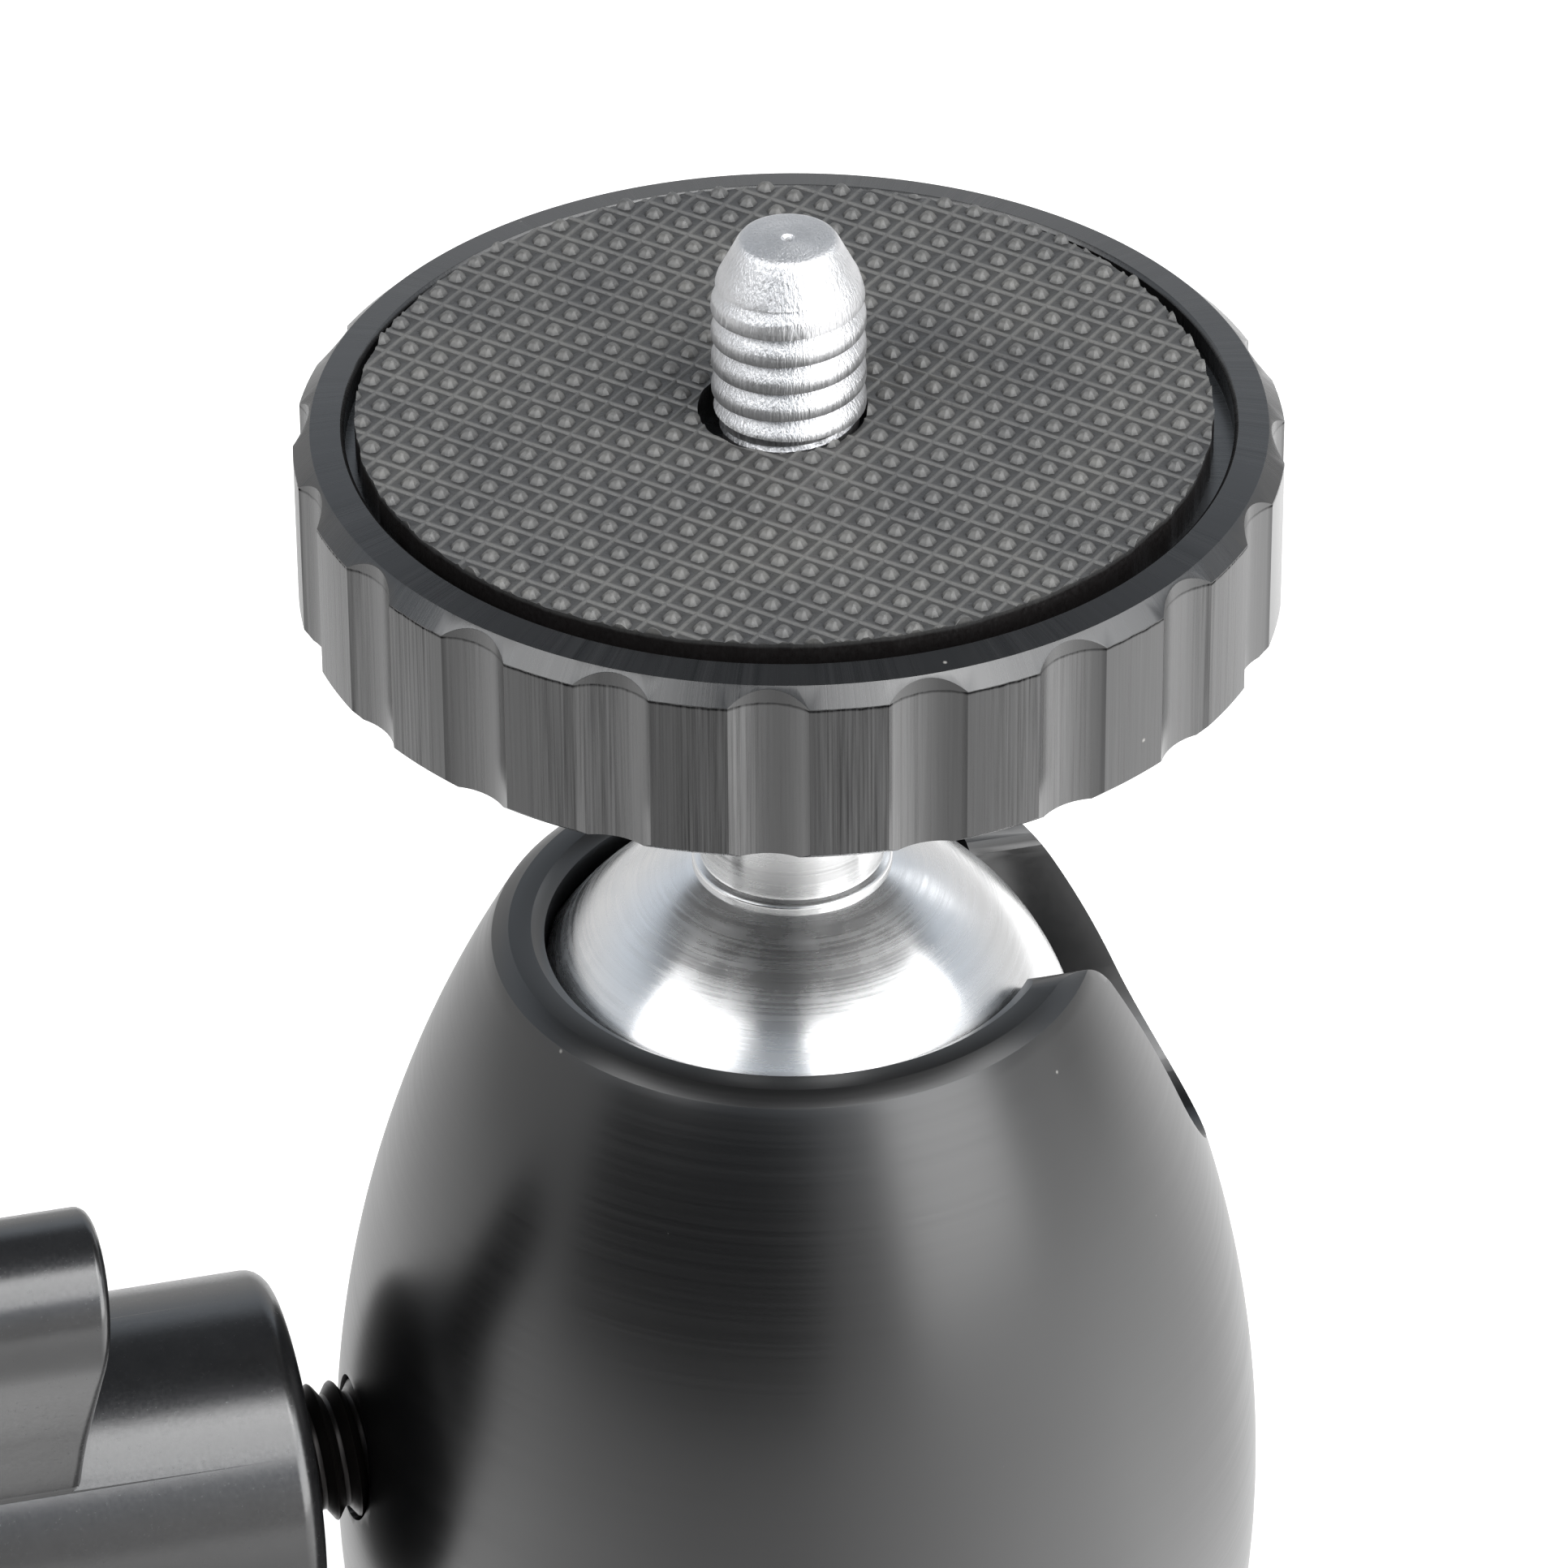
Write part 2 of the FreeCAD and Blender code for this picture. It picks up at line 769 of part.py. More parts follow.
def base_grub_screws():
    """The grub screws through the housing wall that keep the plug from turning."""
    screws = []
    inner = grub_inner_end()
    end = inner + grub_length
    for number in range(grub_count):
        screw = rod_x(grub_radius, inner, end, grub_height)
        socket = hex_socket(grub_socket_radius, grub_socket_depth)
        socket.translate(V(end, 0, grub_height))
        screw = screw.cut(socket)
        screw.rotate(V(0, 0, 0), V(0, 0, 1), grub_first_deg + 360 * number / grub_count)
        screws.append(screw)
    return Part.makeCompound(screws)


PIECES = [
    housing,
    ball_and_neck,
    platform_disc,
    platform_pad,
    camera_stud,
    platform_lock_washer,
    seat_liner,
    pressure_block,
    block_guide_pin,
    disc_springs,
    spring_shim,
    lock_screw,
    captive_ring,
    thrust_tip,
    screw_bush,
    lock_knob,
    knob_pin,
    base_plug,
    tripod_bush,
    base_grub_screws,
]

os.makedirs("parts", exist_ok=True)
for make in PIECES:
    shape = make()
    shape.exportStep(f"parts/{make.__name__}.step")
    print(make.__name__, "solids", len(shape.Solids), "volume", round(shape.Volume, 1), shape.isValid())
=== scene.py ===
"""Mini ball head: the looks of a clamped ball with a fluted platform disc and a T-handle lock.

Sizes are millimetres until they reach Blender, where MM turns them into metres. Every piece is
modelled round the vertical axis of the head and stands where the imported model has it.
"""
import json
import logging
import math
from contextlib import contextmanager
from dataclasses import dataclass
from enum import Enum
from typing import Iterator, Optional, Sequence

import bpy
from mathutils import Euler, Matrix, Vector

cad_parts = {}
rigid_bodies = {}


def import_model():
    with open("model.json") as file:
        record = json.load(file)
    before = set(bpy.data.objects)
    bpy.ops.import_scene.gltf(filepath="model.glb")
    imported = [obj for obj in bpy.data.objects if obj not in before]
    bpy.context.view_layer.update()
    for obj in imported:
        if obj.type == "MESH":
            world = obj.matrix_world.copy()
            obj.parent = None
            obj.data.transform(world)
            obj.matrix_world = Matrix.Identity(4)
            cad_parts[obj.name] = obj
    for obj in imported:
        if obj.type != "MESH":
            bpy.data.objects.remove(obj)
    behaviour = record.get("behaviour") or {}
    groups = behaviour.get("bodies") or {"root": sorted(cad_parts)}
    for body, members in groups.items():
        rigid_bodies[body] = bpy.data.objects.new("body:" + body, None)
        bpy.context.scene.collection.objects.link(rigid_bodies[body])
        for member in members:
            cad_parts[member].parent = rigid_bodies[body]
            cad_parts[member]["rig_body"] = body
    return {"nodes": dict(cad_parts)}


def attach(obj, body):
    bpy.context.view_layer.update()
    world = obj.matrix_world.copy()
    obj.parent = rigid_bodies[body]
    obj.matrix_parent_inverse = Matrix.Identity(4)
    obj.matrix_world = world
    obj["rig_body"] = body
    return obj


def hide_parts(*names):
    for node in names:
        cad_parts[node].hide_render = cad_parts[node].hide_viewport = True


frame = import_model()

MM = 0.001
NOISE_TAILS = (0.3, 0.7)
FLAT = (1, 1, 0)
LOG = logging.getLogger("ball_head")

Profile = list[tuple[float, float]]


class Cut(Enum):
    """What a boolean step does to the piece on the bench."""

    TAKE_AWAY = "DIFFERENCE"
    KEEP_SHARED = "INTERSECT"
    ADD = "UNION"


class Grain(Enum):
    """Which way the tool marks run on a machined piece."""

    AROUND = "around the axis"
    UPRIGHT = "along the axis"


class Bench:
    """The modelling steps that every sub-assembly shares."""

    # One turn of a thread: the share of its depth, then the share of its pitch.
    WORN = (
        (0.0, 0.0), (0.6, 0.035), (0.95, 0.08), (1.0, 0.12), (1.0, 0.30), (0.97, 0.40),
        (0.87, 0.50), (0.70, 0.60), (0.50, 0.71), (0.30, 0.81), (0.12, 0.91), (0.0, 1.0),
    )
    KEEN = (
        (0.0, 0.0), (0.04, 0.1), (0.9, 0.42), (1.0, 0.5), (0.9, 0.58), (0.04, 0.9), (0.0, 1.0),
    )
    THREAD_STEPS = 56

    @staticmethod
    def clear() -> None:
        """Leaves edit mode and deselects everything."""
        if bpy.context.mode != "OBJECT":
            bpy.ops.object.mode_set(mode="OBJECT")
        bpy.ops.object.select_all(action="DESELECT")

    @classmethod
    def take(cls, piece: bpy.types.Object) -> None:
        """Makes a piece the only selected and the active one.

        Args:
            piece: the piece to work on.
        """
        cls.clear()
        piece.select_set(True)
        bpy.context.view_layer.objects.active = piece

    @classmethod
    @contextmanager
    def editing(cls, piece: bpy.types.Object, mode: str = "VERT") -> Iterator[None]:
        """Keeps a piece in edit mode for the length of a with block, with nothing selected.

        Args:
            piece: the piece to edit.
            mode: VERT, EDGE or FACE.
        """
        cls.take(piece)
        bpy.ops.object.mode_set(mode="EDIT")
        bpy.ops.mesh.select_mode(type=mode)
        bpy.ops.mesh.select_all(action="DESELECT")
        yield
        bpy.ops.object.mode_set(mode="OBJECT")

    @classmethod
    def settle(cls, piece: bpy.types.Object) -> None:
        """Moves a piece's place, turn and scale into its mesh.

        Args:
            piece: the piece to settle.
        """
        cls.take(piece)
        bpy.ops.object.transform_apply(location=True, rotation=True, scale=True)

    @classmethod
    def apply(cls, piece: bpy.types.Object, name: str) -> None:
        """Applies one modifier.

        Args:
            piece: the piece that has it.
            name: the modifier's name.
        """
        cls.take(piece)
        bpy.ops.object.modifier_apply(modifier=name)

    @staticmethod
    def push(move: Sequence[float]) -> None:
        """Extrudes what is selected.

        Args:
            move: how far and which way, in metres.
        """
        bpy.ops.mesh.extrude_region_move(TRANSFORM_OT_translate={"value": move})

    @staticmethod
    def outwards() -> None:
        """Turns all faces of the piece in edit mode outwards."""
        bpy.ops.mesh.select_all(action="SELECT")
        bpy.ops.mesh.normals_make_consistent(inside=False)

    @classmethod
    def _close_pole(cls, height: float) -> None:
        """Draws the selected ring together on the axis.

        Args:
            height: height of the pole in millimetres above the ring's own height.
        """
        cls.push((0, 0, height * MM))
        bpy.ops.mesh.merge(type="CENTER")

    @classmethod
    def turned(cls, name: str, profile: Profile, steps: int = 160) -> bpy.types.Object:
        """Turns a piece on the vertical axis by extruding and resizing a circle.

        Args:
            name: the new piece's name.
            profile: radius and height of each ring. A radius of zero at an end closes it there,
                and a profile without one becomes a closed ring.
            steps: how many corners each ring has.

        Returns:
            The new piece, closed and with its faces outwards.
        """
        cls.clear()
        rings = [place for place in profile if place[0] > 0]
        low_pole = profile[0] if profile[0][0] == 0 else None
        high_pole = profile[-1] if profile[-1][0] == 0 else None
        radius, height = rings[0]
        bpy.ops.mesh.primitive_circle_add(
            vertices=steps, radius=radius * MM, fill_type="NOTHING", location=(0, 0, height * MM)
        )
        piece = bpy.context.active_object
        piece.name = name
        piece.data.name = name
        cls.settle(piece)
        with cls.editing(piece, "EDGE"):
            bpy.ops.mesh.select_all(action="SELECT")
            for wide, high in rings[1:]:
                cls.push((0, 0, (high - height) * MM))
                share = wide / radius
                bpy.ops.transform.resize(
                    value=(share, share, 1), center_override=(0, 0, high * MM)
                )
                radius, height = wide, high
            if high_pole is not None:
                cls._close_pole(high_pole[1] - height)
            bpy.ops.mesh.select_mode(type="EDGE")
            bpy.ops.mesh.select_all(action="DESELECT")
            bpy.ops.mesh.select_non_manifold()
            if low_pole is not None:
                cls._close_pole(low_pole[1] - rings[0][1])
            else:
                bpy.ops.mesh.bridge_edge_loops()
            cls.outwards()
        return piece

    @classmethod
    def _chain(cls, name: str, corners: Sequence[Vector]) -> bpy.types.Object:
        """Draws an open chain of edges, by drawing a small plane together and extruding it.

        Args:
            name: the new object's name.
            corners: the chain's corners in millimetres.

        Returns:
            The chain.
        """
        cls.clear()
        bpy.ops.mesh.primitive_plane_add(size=MM, location=corners[0] * MM)
        chain = bpy.context.active_object
        chain.name = name
        chain.data.name = name
        cls.settle(chain)
        with cls.editing(chain):
            bpy.ops.mesh.select_all(action="SELECT")
            bpy.ops.mesh.merge(type="CENTER")
            for start, end in zip(corners, corners[1:]):
                cls.push((end - start) * MM)
        return chain

    @classmethod
    def prism(cls, name: str, corners: Sequence[Vector], push: Vector) -> bpy.types.Object:
        """Fills a flat outline and extrudes it.

        Args:
            name: the new piece's name.
            corners: the outline's corners in millimetres.
            push: how far and which way it is extruded, in millimetres.

        Returns:
            The closed prism.
        """
        piece = cls._chain(name, corners)
        with cls.editing(piece):
            bpy.ops.mesh.select_all(action="SELECT")
            bpy.ops.mesh.edge_face_add()
            cls.push(push * MM)
            cls.outwards()
        return piece

    @classmethod
    def rod(
        cls, name: str, radius: float, start: Vector, end: Vector, steps: int = 64
    ) -> bpy.types.Object:
        """Makes a round bar between two places, for cutting and joining.

        Args:
            name: the bar's name.
            radius: its radius in millimetres.
            start: the middle of one end, in millimetres.
            end: the middle of the other end, in millimetres.
            steps: how many sides it has.

        Returns:
            The bar.
        """
        cls.clear()
        along = end - start
        bpy.ops.mesh.primitive_cylinder_add(
            vertices=steps,
            radius=radius * MM,
            depth=along.length * MM,
            location=(start + end) / 2 * MM,
            rotation=along.to_track_quat("Z", "Y").to_euler(),
        )
        piece = bpy.context.active_object
        piece.name = name
        cls.settle(piece)
        return piece

    @classmethod
    def threaded(
        cls,
        name: str,
        crest: float,
        root: float,
        pitch: float,
        low: float,
        high: float,
        blunt: bool = False,
    ) -> bpy.types.Object:
        """Winds a thread round the vertical axis.

        Args:
            name: the new piece's name.
            crest: radius at the crests.
            root: radius at the roots.
            pitch: rise of one turn.
            low: height of the lower end.
            high: height of the upper end.
            blunt: whether its crests are broad and worn, with narrow grooves between them.

        Returns:
            The threaded bar, cut flat at both ends.
        """
        shape = [
            (root + (crest - root) * deep, share)
            for deep, share in (cls.WORN if blunt else cls.KEEN)
        ]
        start = low - pitch - pitch / 3
        turns = int(math.ceil((high - start) / pitch)) + 1
        corners = [Vector((wide, 0, start + share * pitch)) for wide, share in shape]
        piece = cls._chain(name, corners)
        screw = piece.modifiers.new("helix", "SCREW")
        screw.axis = "Z"
        screw.angle = math.tau
        screw.screw_offset = pitch * MM
        screw.iterations = turns
        screw.steps = cls.THREAD_STEPS
        screw.render_steps = cls.THREAD_STEPS
        screw.use_merge_vertices = True
        screw.merge_threshold = 1e-7
        cls.apply(piece, "helix")
        with cls.editing(piece):
            bpy.ops.mesh.select_all(action="SELECT")
            bpy.ops.mesh.remove_doubles(threshold=1e-6)
            for height, direction in ((low, -1), (high, 1)):
                bpy.ops.mesh.select_all(action="SELECT")
                bpy.ops.mesh.bisect(
                    plane_co=(0, 0, height * MM),
                    plane_no=(0, 0, direction),
                    use_fill=True,
                    clear_outer=True,
                )
            cls.outwards()
        return piece

    @classmethod
    def combine(
        cls, piece: bpy.types.Object, tools: Sequence[bpy.types.Object], how: Cut
    ) -> None:
        """Cuts a piece with tools or joins them to it, and removes the tools.

        Args:
            piece: the piece that stays.
            tools: the pieces that are used up.
            how: which boolean step.
        """
        for tool in tools:
            step = piece.modifiers.new("step", "BOOLEAN")
            step.operation = how.value
            step.solver = "EXACT"
            step.object = tool
            cls.apply(piece, "step")
            cls.discard(tool)

    @staticmethod
    def discard(piece: bpy.types.Object) -> None:
        """Removes a piece with its mesh.

        Args:
            piece: the piece.
        """
        mesh = piece.data
        bpy.data.objects.remove(piece)
        bpy.data.meshes.remove(mesh)

    @classmethod
    def joined(cls, parts: Sequence[bpy.types.Object]) -> bpy.types.Object:
        """Joins several pieces into the first one.

        Args:
            parts: the pieces.

        Returns:
            The first piece, with the meshes of all.
        """
        cls.clear()
        for part in parts:
            part.select_set(True)
        bpy.context.view_layer.objects.active = parts[0]
        bpy.ops.object.join()
        return parts[0]

    @classmethod
    def soften(
        cls, piece: bpy.types.Object, width: float = 0.0, segments: int = 2, degrees: float = 30
    ) -> bpy.types.Object:
        """Breaks the sharp edges of a piece and shades it smooth between them.

        Args:
            piece: the piece.
            width: width of the broken edge in millimetres, or zero for none.
            segments: how many facets the broken edge has.
            degrees: edges sharper than this are broken.

        Returns:
            The piece.
        """
        if width > 0:
            bevel = piece.modifiers.new("edges", "BEVEL")
            bevel.width = width * MM
            bevel.segments = segments
            bevel.limit_method = "ANGLE"
            bevel.angle_limit = math.radians(degrees)
            bevel.miter_outer = "MITER_ARC"
            cls.apply(piece, "edges")
        cls.take(piece)
        bpy.ops.object.shade_smooth_by_angle(angle=math.radians(degrees))
        weighted = piece.modifiers.new("shading", "WEIGHTED_NORMAL")
        weighted.keep_sharp = True
        cls.apply(piece, "shading")
        return piece

    @classmethod
    def lay(cls, piece: bpy.types.Object, height: float, degrees: float, axis: str) -> None:
        """Turns a piece about an axis through the origin and lifts it.

        Args:
            piece: the piece.
            height: how far it is lifted, in millimetres.
            degrees: how far it is turned. With -90 about Y, heights become distances towards -X.
            axis: X or Y.
        """
        lift = Matrix.Translation((0, 0, height * MM))
        piece.matrix_world = lift @ Matrix.Rotation(math.radians(degrees), 4, axis)
        cls.settle(piece)


def arc_places(
    radius: float, centre: tuple[float, float], start: float, end: float, count: int
) -> Profile:
    """Places along an arc, for an outline.

    Args:
        radius: the arc's radius.
        centre: its centre, as radius and height.
        start: angle of its first place above the outward direction, in degrees.
        end: angle of its last place.
        count: how many places there are, both ends among them.

    Returns:
        The places.
    """
    places = []
    for number in range(count):
        turn = math.radians(start + (end - start) * number / (count - 1))
        places.append((centre[0] + radius * math.cos(turn), centre[1] + radius * math.sin(turn)))
    return places


class NodeSheet:
    """A node tree under construction, of a material or of a shared group."""

    def __init__(self, tree: bpy.types.NodeTree) -> None:
        """Starts on an empty tree.

        Args:
            tree: the tree to fill.
        """
        self.tree = tree
        tree.nodes.clear()

    @classmethod
    def for_material(cls, name: str) -> tuple[bpy.types.Material, "NodeSheet"]:
        """Makes a material with an empty sheet.

        Args:
            name: the material's name.

        Returns:
            The material and its sheet.
        """
        material = bpy.data.materials.new(name)
        material.use_nodes = True
        return material, cls(material.node_tree)

    def add(self, kind: str, **settings: object) -> bpy.types.Node:
        """Adds a node and sets its properties.

        Args:
            kind: the node's type without its ShaderNode prefix, or its whole type.
            settings: the node's own properties.

        Returns:
            The node.
        """
        whole = kind if kind.startswith("Node") else "ShaderNode" + kind
        node = self.tree.nodes.new(whole)
        for key, value in settings.items():
            setattr(node, key, value)
        return node

    def link(self, source: bpy.types.NodeSocket, target: bpy.types.NodeSocket) -> None:
        """Joins two sockets."""
        self.tree.links.new(source, target)

    def feed(self, target: bpy.types.NodeSocket, value: object) -> None:
        """Gives a socket a number or another node's output.

        Args:
            target: the socket to feed.
            value: a socket, a number or a colour.
        """
        if isinstance(value, bpy.types.NodeSocket):
            self.link(value, target)
        else:
            target.default_value = value

    def wire(self, node: bpy.types.Node, values: dict[str, object]) -> None:
        """Feeds several inputs of a node.

        Args:
            node: the node.
            values: a socket, a number or a colour for the name of each input.
        """
        for label, value in values.items():
            self.feed(node.inputs[label], value)

    def end(self, source: bpy.types.NodeSocket, kind: str = "OutputMaterial") -> None:
        """Sends a shader to the tree's output.

        Args:
            source: the shader.
            kind: the output's type.
        """
        self.link(source, self.add(kind).inputs[0])

    def split(self, vector: bpy.types.NodeSocket) -> tuple[bpy.types.NodeSocket, ...]:
        """Takes a vector apart.

        Args:
            vector: the vector.

        Returns:
            Its three values.
        """
        node = self.add("SeparateXYZ")
        self.link(vector, node.inputs[0])
        return tuple(node.outputs)

    def vector(self, operation: str, *values: object) -> bpy.types.NodeSocket:
        """Adds a Vector Math node.

        Args:
            operation: its operation.
            values: sockets or vectors.

        Returns:
            Its vector.
        """
        node = self.add("VectorMath", operation=operation)
        for number, value in enumerate(values):
            self.feed(node.inputs[number], value)
        return node.outputs[0]

    def scaled(self, vector: object, share: object) -> bpy.types.NodeSocket:
        """Scales a vector or a colour.

        Args:
            vector: the vector or colour.
            share: its factor.

        Returns:
            The result.
        """
        node = self.add("VectorMath", operation="SCALE")
        self.feed(node.inputs[0], vector)
        self.feed(node.inputs["Scale"], share)
        return node.outputs[0]

    def length(self, vector: bpy.types.NodeSocket) -> bpy.types.NodeSocket:
        """Measures a vector.

        Args:
            vector: the vector.

        Returns:
            Its length.
        """
        node = self.add("VectorMath", operation="LENGTH")
        self.link(vector, node.inputs[0])
        return node.outputs["Value"]

    def stretched(
        self, vector: bpy.types.NodeSocket, scale: tuple[float, float, float]
    ) -> bpy.types.NodeSocket:
        """Scales coordinates by axis.

        Args:
            vector: the coordinates.
            scale: the factor of each axis.

        Returns:
            The scaled coordinates.
        """
        node = self.add("Mapping")
        self.wire(node, {"Vector": vector, "Scale": scale})
        return node.outputs[0]

    def math(self, operation: str, *values: object, clamp: bool = False) -> bpy.types.NodeSocket:
        """Adds a Math node.

        Args:
            operation: its operation.
            values: sockets or numbers.
            clamp: whether the result is kept between zero and one.

        Returns:
            Its result.
        """
        node = self.add("Math", operation=operation, use_clamp=clamp)
        for number, value in enumerate(values):
            self.feed(node.inputs[number], value)
        return node.outputs[0]

    def blend(self, share: object, first: object, second: object) -> bpy.types.NodeSocket:
        """Mixes two colours.

        Args:
            share: how much of the second there is.
            first: the first colour.
            second: the second colour.

        Returns:
            The mixed colour.
        """
        node = self.add("Mix", data_type="RGBA", blend_type="MIX")
        self.feed(node.inputs[0], share)
        self.feed(node.inputs[6], first)
        self.feed(node.inputs[7], second)
        return node.outputs[2]

    def between(
        self, value: object, low: float, high: float, start: float = 0.0, end: float = 1.0
    ) -> bpy.types.NodeSocket:
        """Maps a value from one range to another, clamped.

        Args:
            value: the value to map.
            low: its lower limit.
            high: its upper limit.
            start: what the lower limit becomes.
            end: what the upper limit becomes.

        Returns:
            The mapped value.
        """
        node = self.add("MapRange")
        for number, given in enumerate((value, low, high, start, end)):
            self.feed(node.inputs[number], given)
        return node.outputs[0]

    def around(self, value: object, middle: float, reach: float) -> bpy.types.NodeSocket:
        """Maps a noise to a range about a number.

        Args:
            value: the noise.
            middle: the middle of the range.
            reach: how far the range goes to either side.

        Returns:
            The mapped value.
        """
        return self.between(value, *NOISE_TAILS, middle - reach, middle + reach)

    def noise(
        self, vector: bpy.types.NodeSocket, scale: object, detail: float = 3, rough: float = 0.5
    ) -> bpy.types.NodeSocket:
        """Adds a Noise texture.

        Args:
            vector: where it is read.
            scale: its scale, per metre.
            detail: its detail.
            rough: its roughness.

        Returns:
            Its value.
        """
        node = self.add("TexNoise")
        self.wire(node, {"Vector": vector, "Scale": scale, "Detail": detail, "Roughness": rough})
        return node.outputs[0]

    def bump(
        self, height: bpy.types.NodeSocket, distance: float, strength: float = 1.0
    ) -> bpy.types.NodeSocket:
        """Adds a Bump node.

        Args:
            height: the height map.
            distance: how high a value of one is, in millimetres.
            strength: the node's strength.

        Returns:
            The bumped normal.
        """
        node = self.add("Bump")
        self.wire(node, {"Strength": strength, "Distance": distance * MM, "Height": height})
        return node.outputs[0]


class SharedEffects:
    """Node groups that several finishes use. They give out values only."""

    @staticmethod
    def _group(name: str, inputs: Sequence[tuple[str, str]], outputs: Sequence[str]) -> NodeSheet:
        """Starts a node group with its sockets.

        Args:
            name: the group's name.
            inputs: name and socket type of each input.
            outputs: names of its outputs, all plain values.

        Returns:
            The group's sheet.
        """
        tree = bpy.data.node_groups.new(name, "ShaderNodeTree")
        for label, kind in inputs:
            tree.interface.new_socket(label, in_out="INPUT", socket_type=kind)
        for label in outputs:
            tree.interface.new_socket(label, in_out="OUTPUT", socket_type="NodeSocketFloat")
        return NodeSheet(tree)

    @classmethod
    def _turning(cls) -> bpy.types.NodeTree:
        """Fine rings round the vertical axis, as a lathe tool leaves them.

        Returns:
            The group, made once.
        """
        known = bpy.data.node_groups.get("turning marks")
        if known is not None:
            return known
        sheet = cls._group(
            "turning marks",
            (("Vector", "NodeSocketVector"), ("Scale", "NodeSocketFloat")),
            ("Fine", "Broad"),
        )
        given = sheet.add("NodeGroupInput")
        wide, deep, high = sheet.split(given.outputs["Vector"])
        square = sheet.math("MULTIPLY_ADD", deep, deep, sheet.math("MULTIPLY", wide, wide))
        turn = sheet.math("ARCTAN2", deep, wide)
        ring = sheet.add("CombineXYZ")
        sheet.link(sheet.math("SQRT", square), ring.inputs[0])
        sheet.link(sheet.math("MULTIPLY", sheet.math("SINE", turn), 0.00016), ring.inputs[1])
        sheet.link(high, ring.inputs[2])
        scale = given.outputs["Scale"]
        fine = sheet.noise(ring.outputs[0], scale, 4)
        broad = sheet.noise(ring.outputs[0], sheet.math("MULTIPLY", scale, 0.17), 2)
        sheet.wire(sheet.add("NodeGroupOutput"), {"Fine": fine, "Broad": broad})
        return sheet.tree

    @classmethod
    def _scatter(cls) -> bpy.types.NodeTree:
        """Scattered small specks, as dust or grains in paint.

        Returns:
            The group, made once.
        """
        known = bpy.data.node_groups.get("specks")
        if known is not None:
            return known
        numbers = tuple((label, "NodeSocketFloat") for label in ("Scale", "Size", "Share"))
        sheet = cls._group("specks", (("Vector", "NodeSocketVector"), *numbers), ("Mask",))
        given = sheet.add("NodeGroupInput")
        cells = sheet.add("TexVoronoi", feature="F1")
        sheet.wire(cells, {label: given.outputs[label] for label in ("Vector", "Scale")})
        apart = sheet.add("SeparateColor")
        sheet.link(cells.outputs["Color"], apart.inputs[0])
        chosen = sheet.math("LESS_THAN", apart.outputs[0], given.outputs["Share"])
        limit = sheet.math("MULTIPLY", given.outputs["Size"], apart.outputs[1])
        near = sheet.math("SUBTRACT", limit, cells.outputs["Distance"])
        soft = sheet.math("MULTIPLY", near, 14.0, clamp=True)
        mask = sheet.math("MULTIPLY", soft, chosen)
        sheet.wire(sheet.add("NodeGroupOutput"), {"Mask": mask})
        return sheet.tree

    @classmethod
    def rings(
        cls, sheet: NodeSheet, vector: bpy.types.NodeSocket, scale: float
    ) -> tuple[bpy.types.NodeSocket, bpy.types.NodeSocket]:
        """Adds turning marks to a material.

        Args:
            sheet: the material's sheet.
            vector: where they are read.
            scale: their scale, per metre.

        Returns:
            The fine marks and the broad ones.
        """
        node = sheet.add("Group")
        node.node_tree = cls._turning()
        sheet.wire(node, {"Vector": vector, "Scale": scale})
        return node.outputs["Fine"], node.outputs["Broad"]

    @classmethod
    def specks(
        cls,
        sheet: NodeSheet,
        vector: bpy.types.NodeSocket,
        scale: float,
        size: float,
        share: float,
    ) -> bpy.types.NodeSocket:
        """Adds specks to a material.

        Args:
            sheet: the material's sheet.
            vector: where they are read.
            scale: how many cells for specks there are to a metre.
            size: the largest speck, in cells.
            share: the share of cells that have one.

        Returns:
            One in a speck and zero beside it.
        """
        node = sheet.add("Group")
        node.node_tree = cls._scatter()
        sheet.wire(node, {"Vector": vector, "Scale": scale, "Size": size, "Share": share})
        return node.outputs[0]


@dataclass(frozen=True)
class Finish:
    """A finish with its Principled shader, which the kinds below dress."""

    name: str
    colour: tuple[float, float, float]
    roughness: float
    metallic: float = 0.0

    def _start(self) -> tuple[bpy.types.Material, NodeSheet, bpy.types.Node, bpy.types.NodeSocket]:
        """Makes the material with its shader, output and object coordinates.

        Returns:
            The material, its sheet, the Principled shader and the coordinates.
        """
        material, sheet = NodeSheet.for_material(self.name)
        shader = sheet.add("BsdfPrincipled")
        sheet.wire(
            shader,
            {
                "Base Color": (*self.colour, 1),
                "Roughness": self.roughness,
                "Metallic": self.metallic,
            },
        )
        sheet.end(shader.outputs[0])
        return material, sheet, shader, sheet.add("TexCoord").outputs["Object"]

    def _turned_to(
        self, sheet: NodeSheet, place: bpy.types.NodeSocket, axis: Optional[float]
    ) -> bpy.types.NodeSocket:
        """Turns coordinates so that an axis along X at a height becomes the vertical one.

        Args:
            sheet: the material's sheet.
            place: the object coordinates.
            axis: height of the axis along X in millimetres, or None for the vertical axis.

        Returns:
            The turned coordinates.
        """
        if axis is None:
            return place
        turn = sheet.add("Mapping", vector_type="POINT")
        quarter = (0, math.radians(90), 0)
        sheet.wire(turn, {"Vector": place, "Rotation": quarter, "Location": (-axis * MM, 0, 0)})
        return turn.outputs[0]

    def material(self) -> bpy.types.Material:
        """Makes the material.

        Returns:
            The finished material.
        """
        raise NotImplementedError


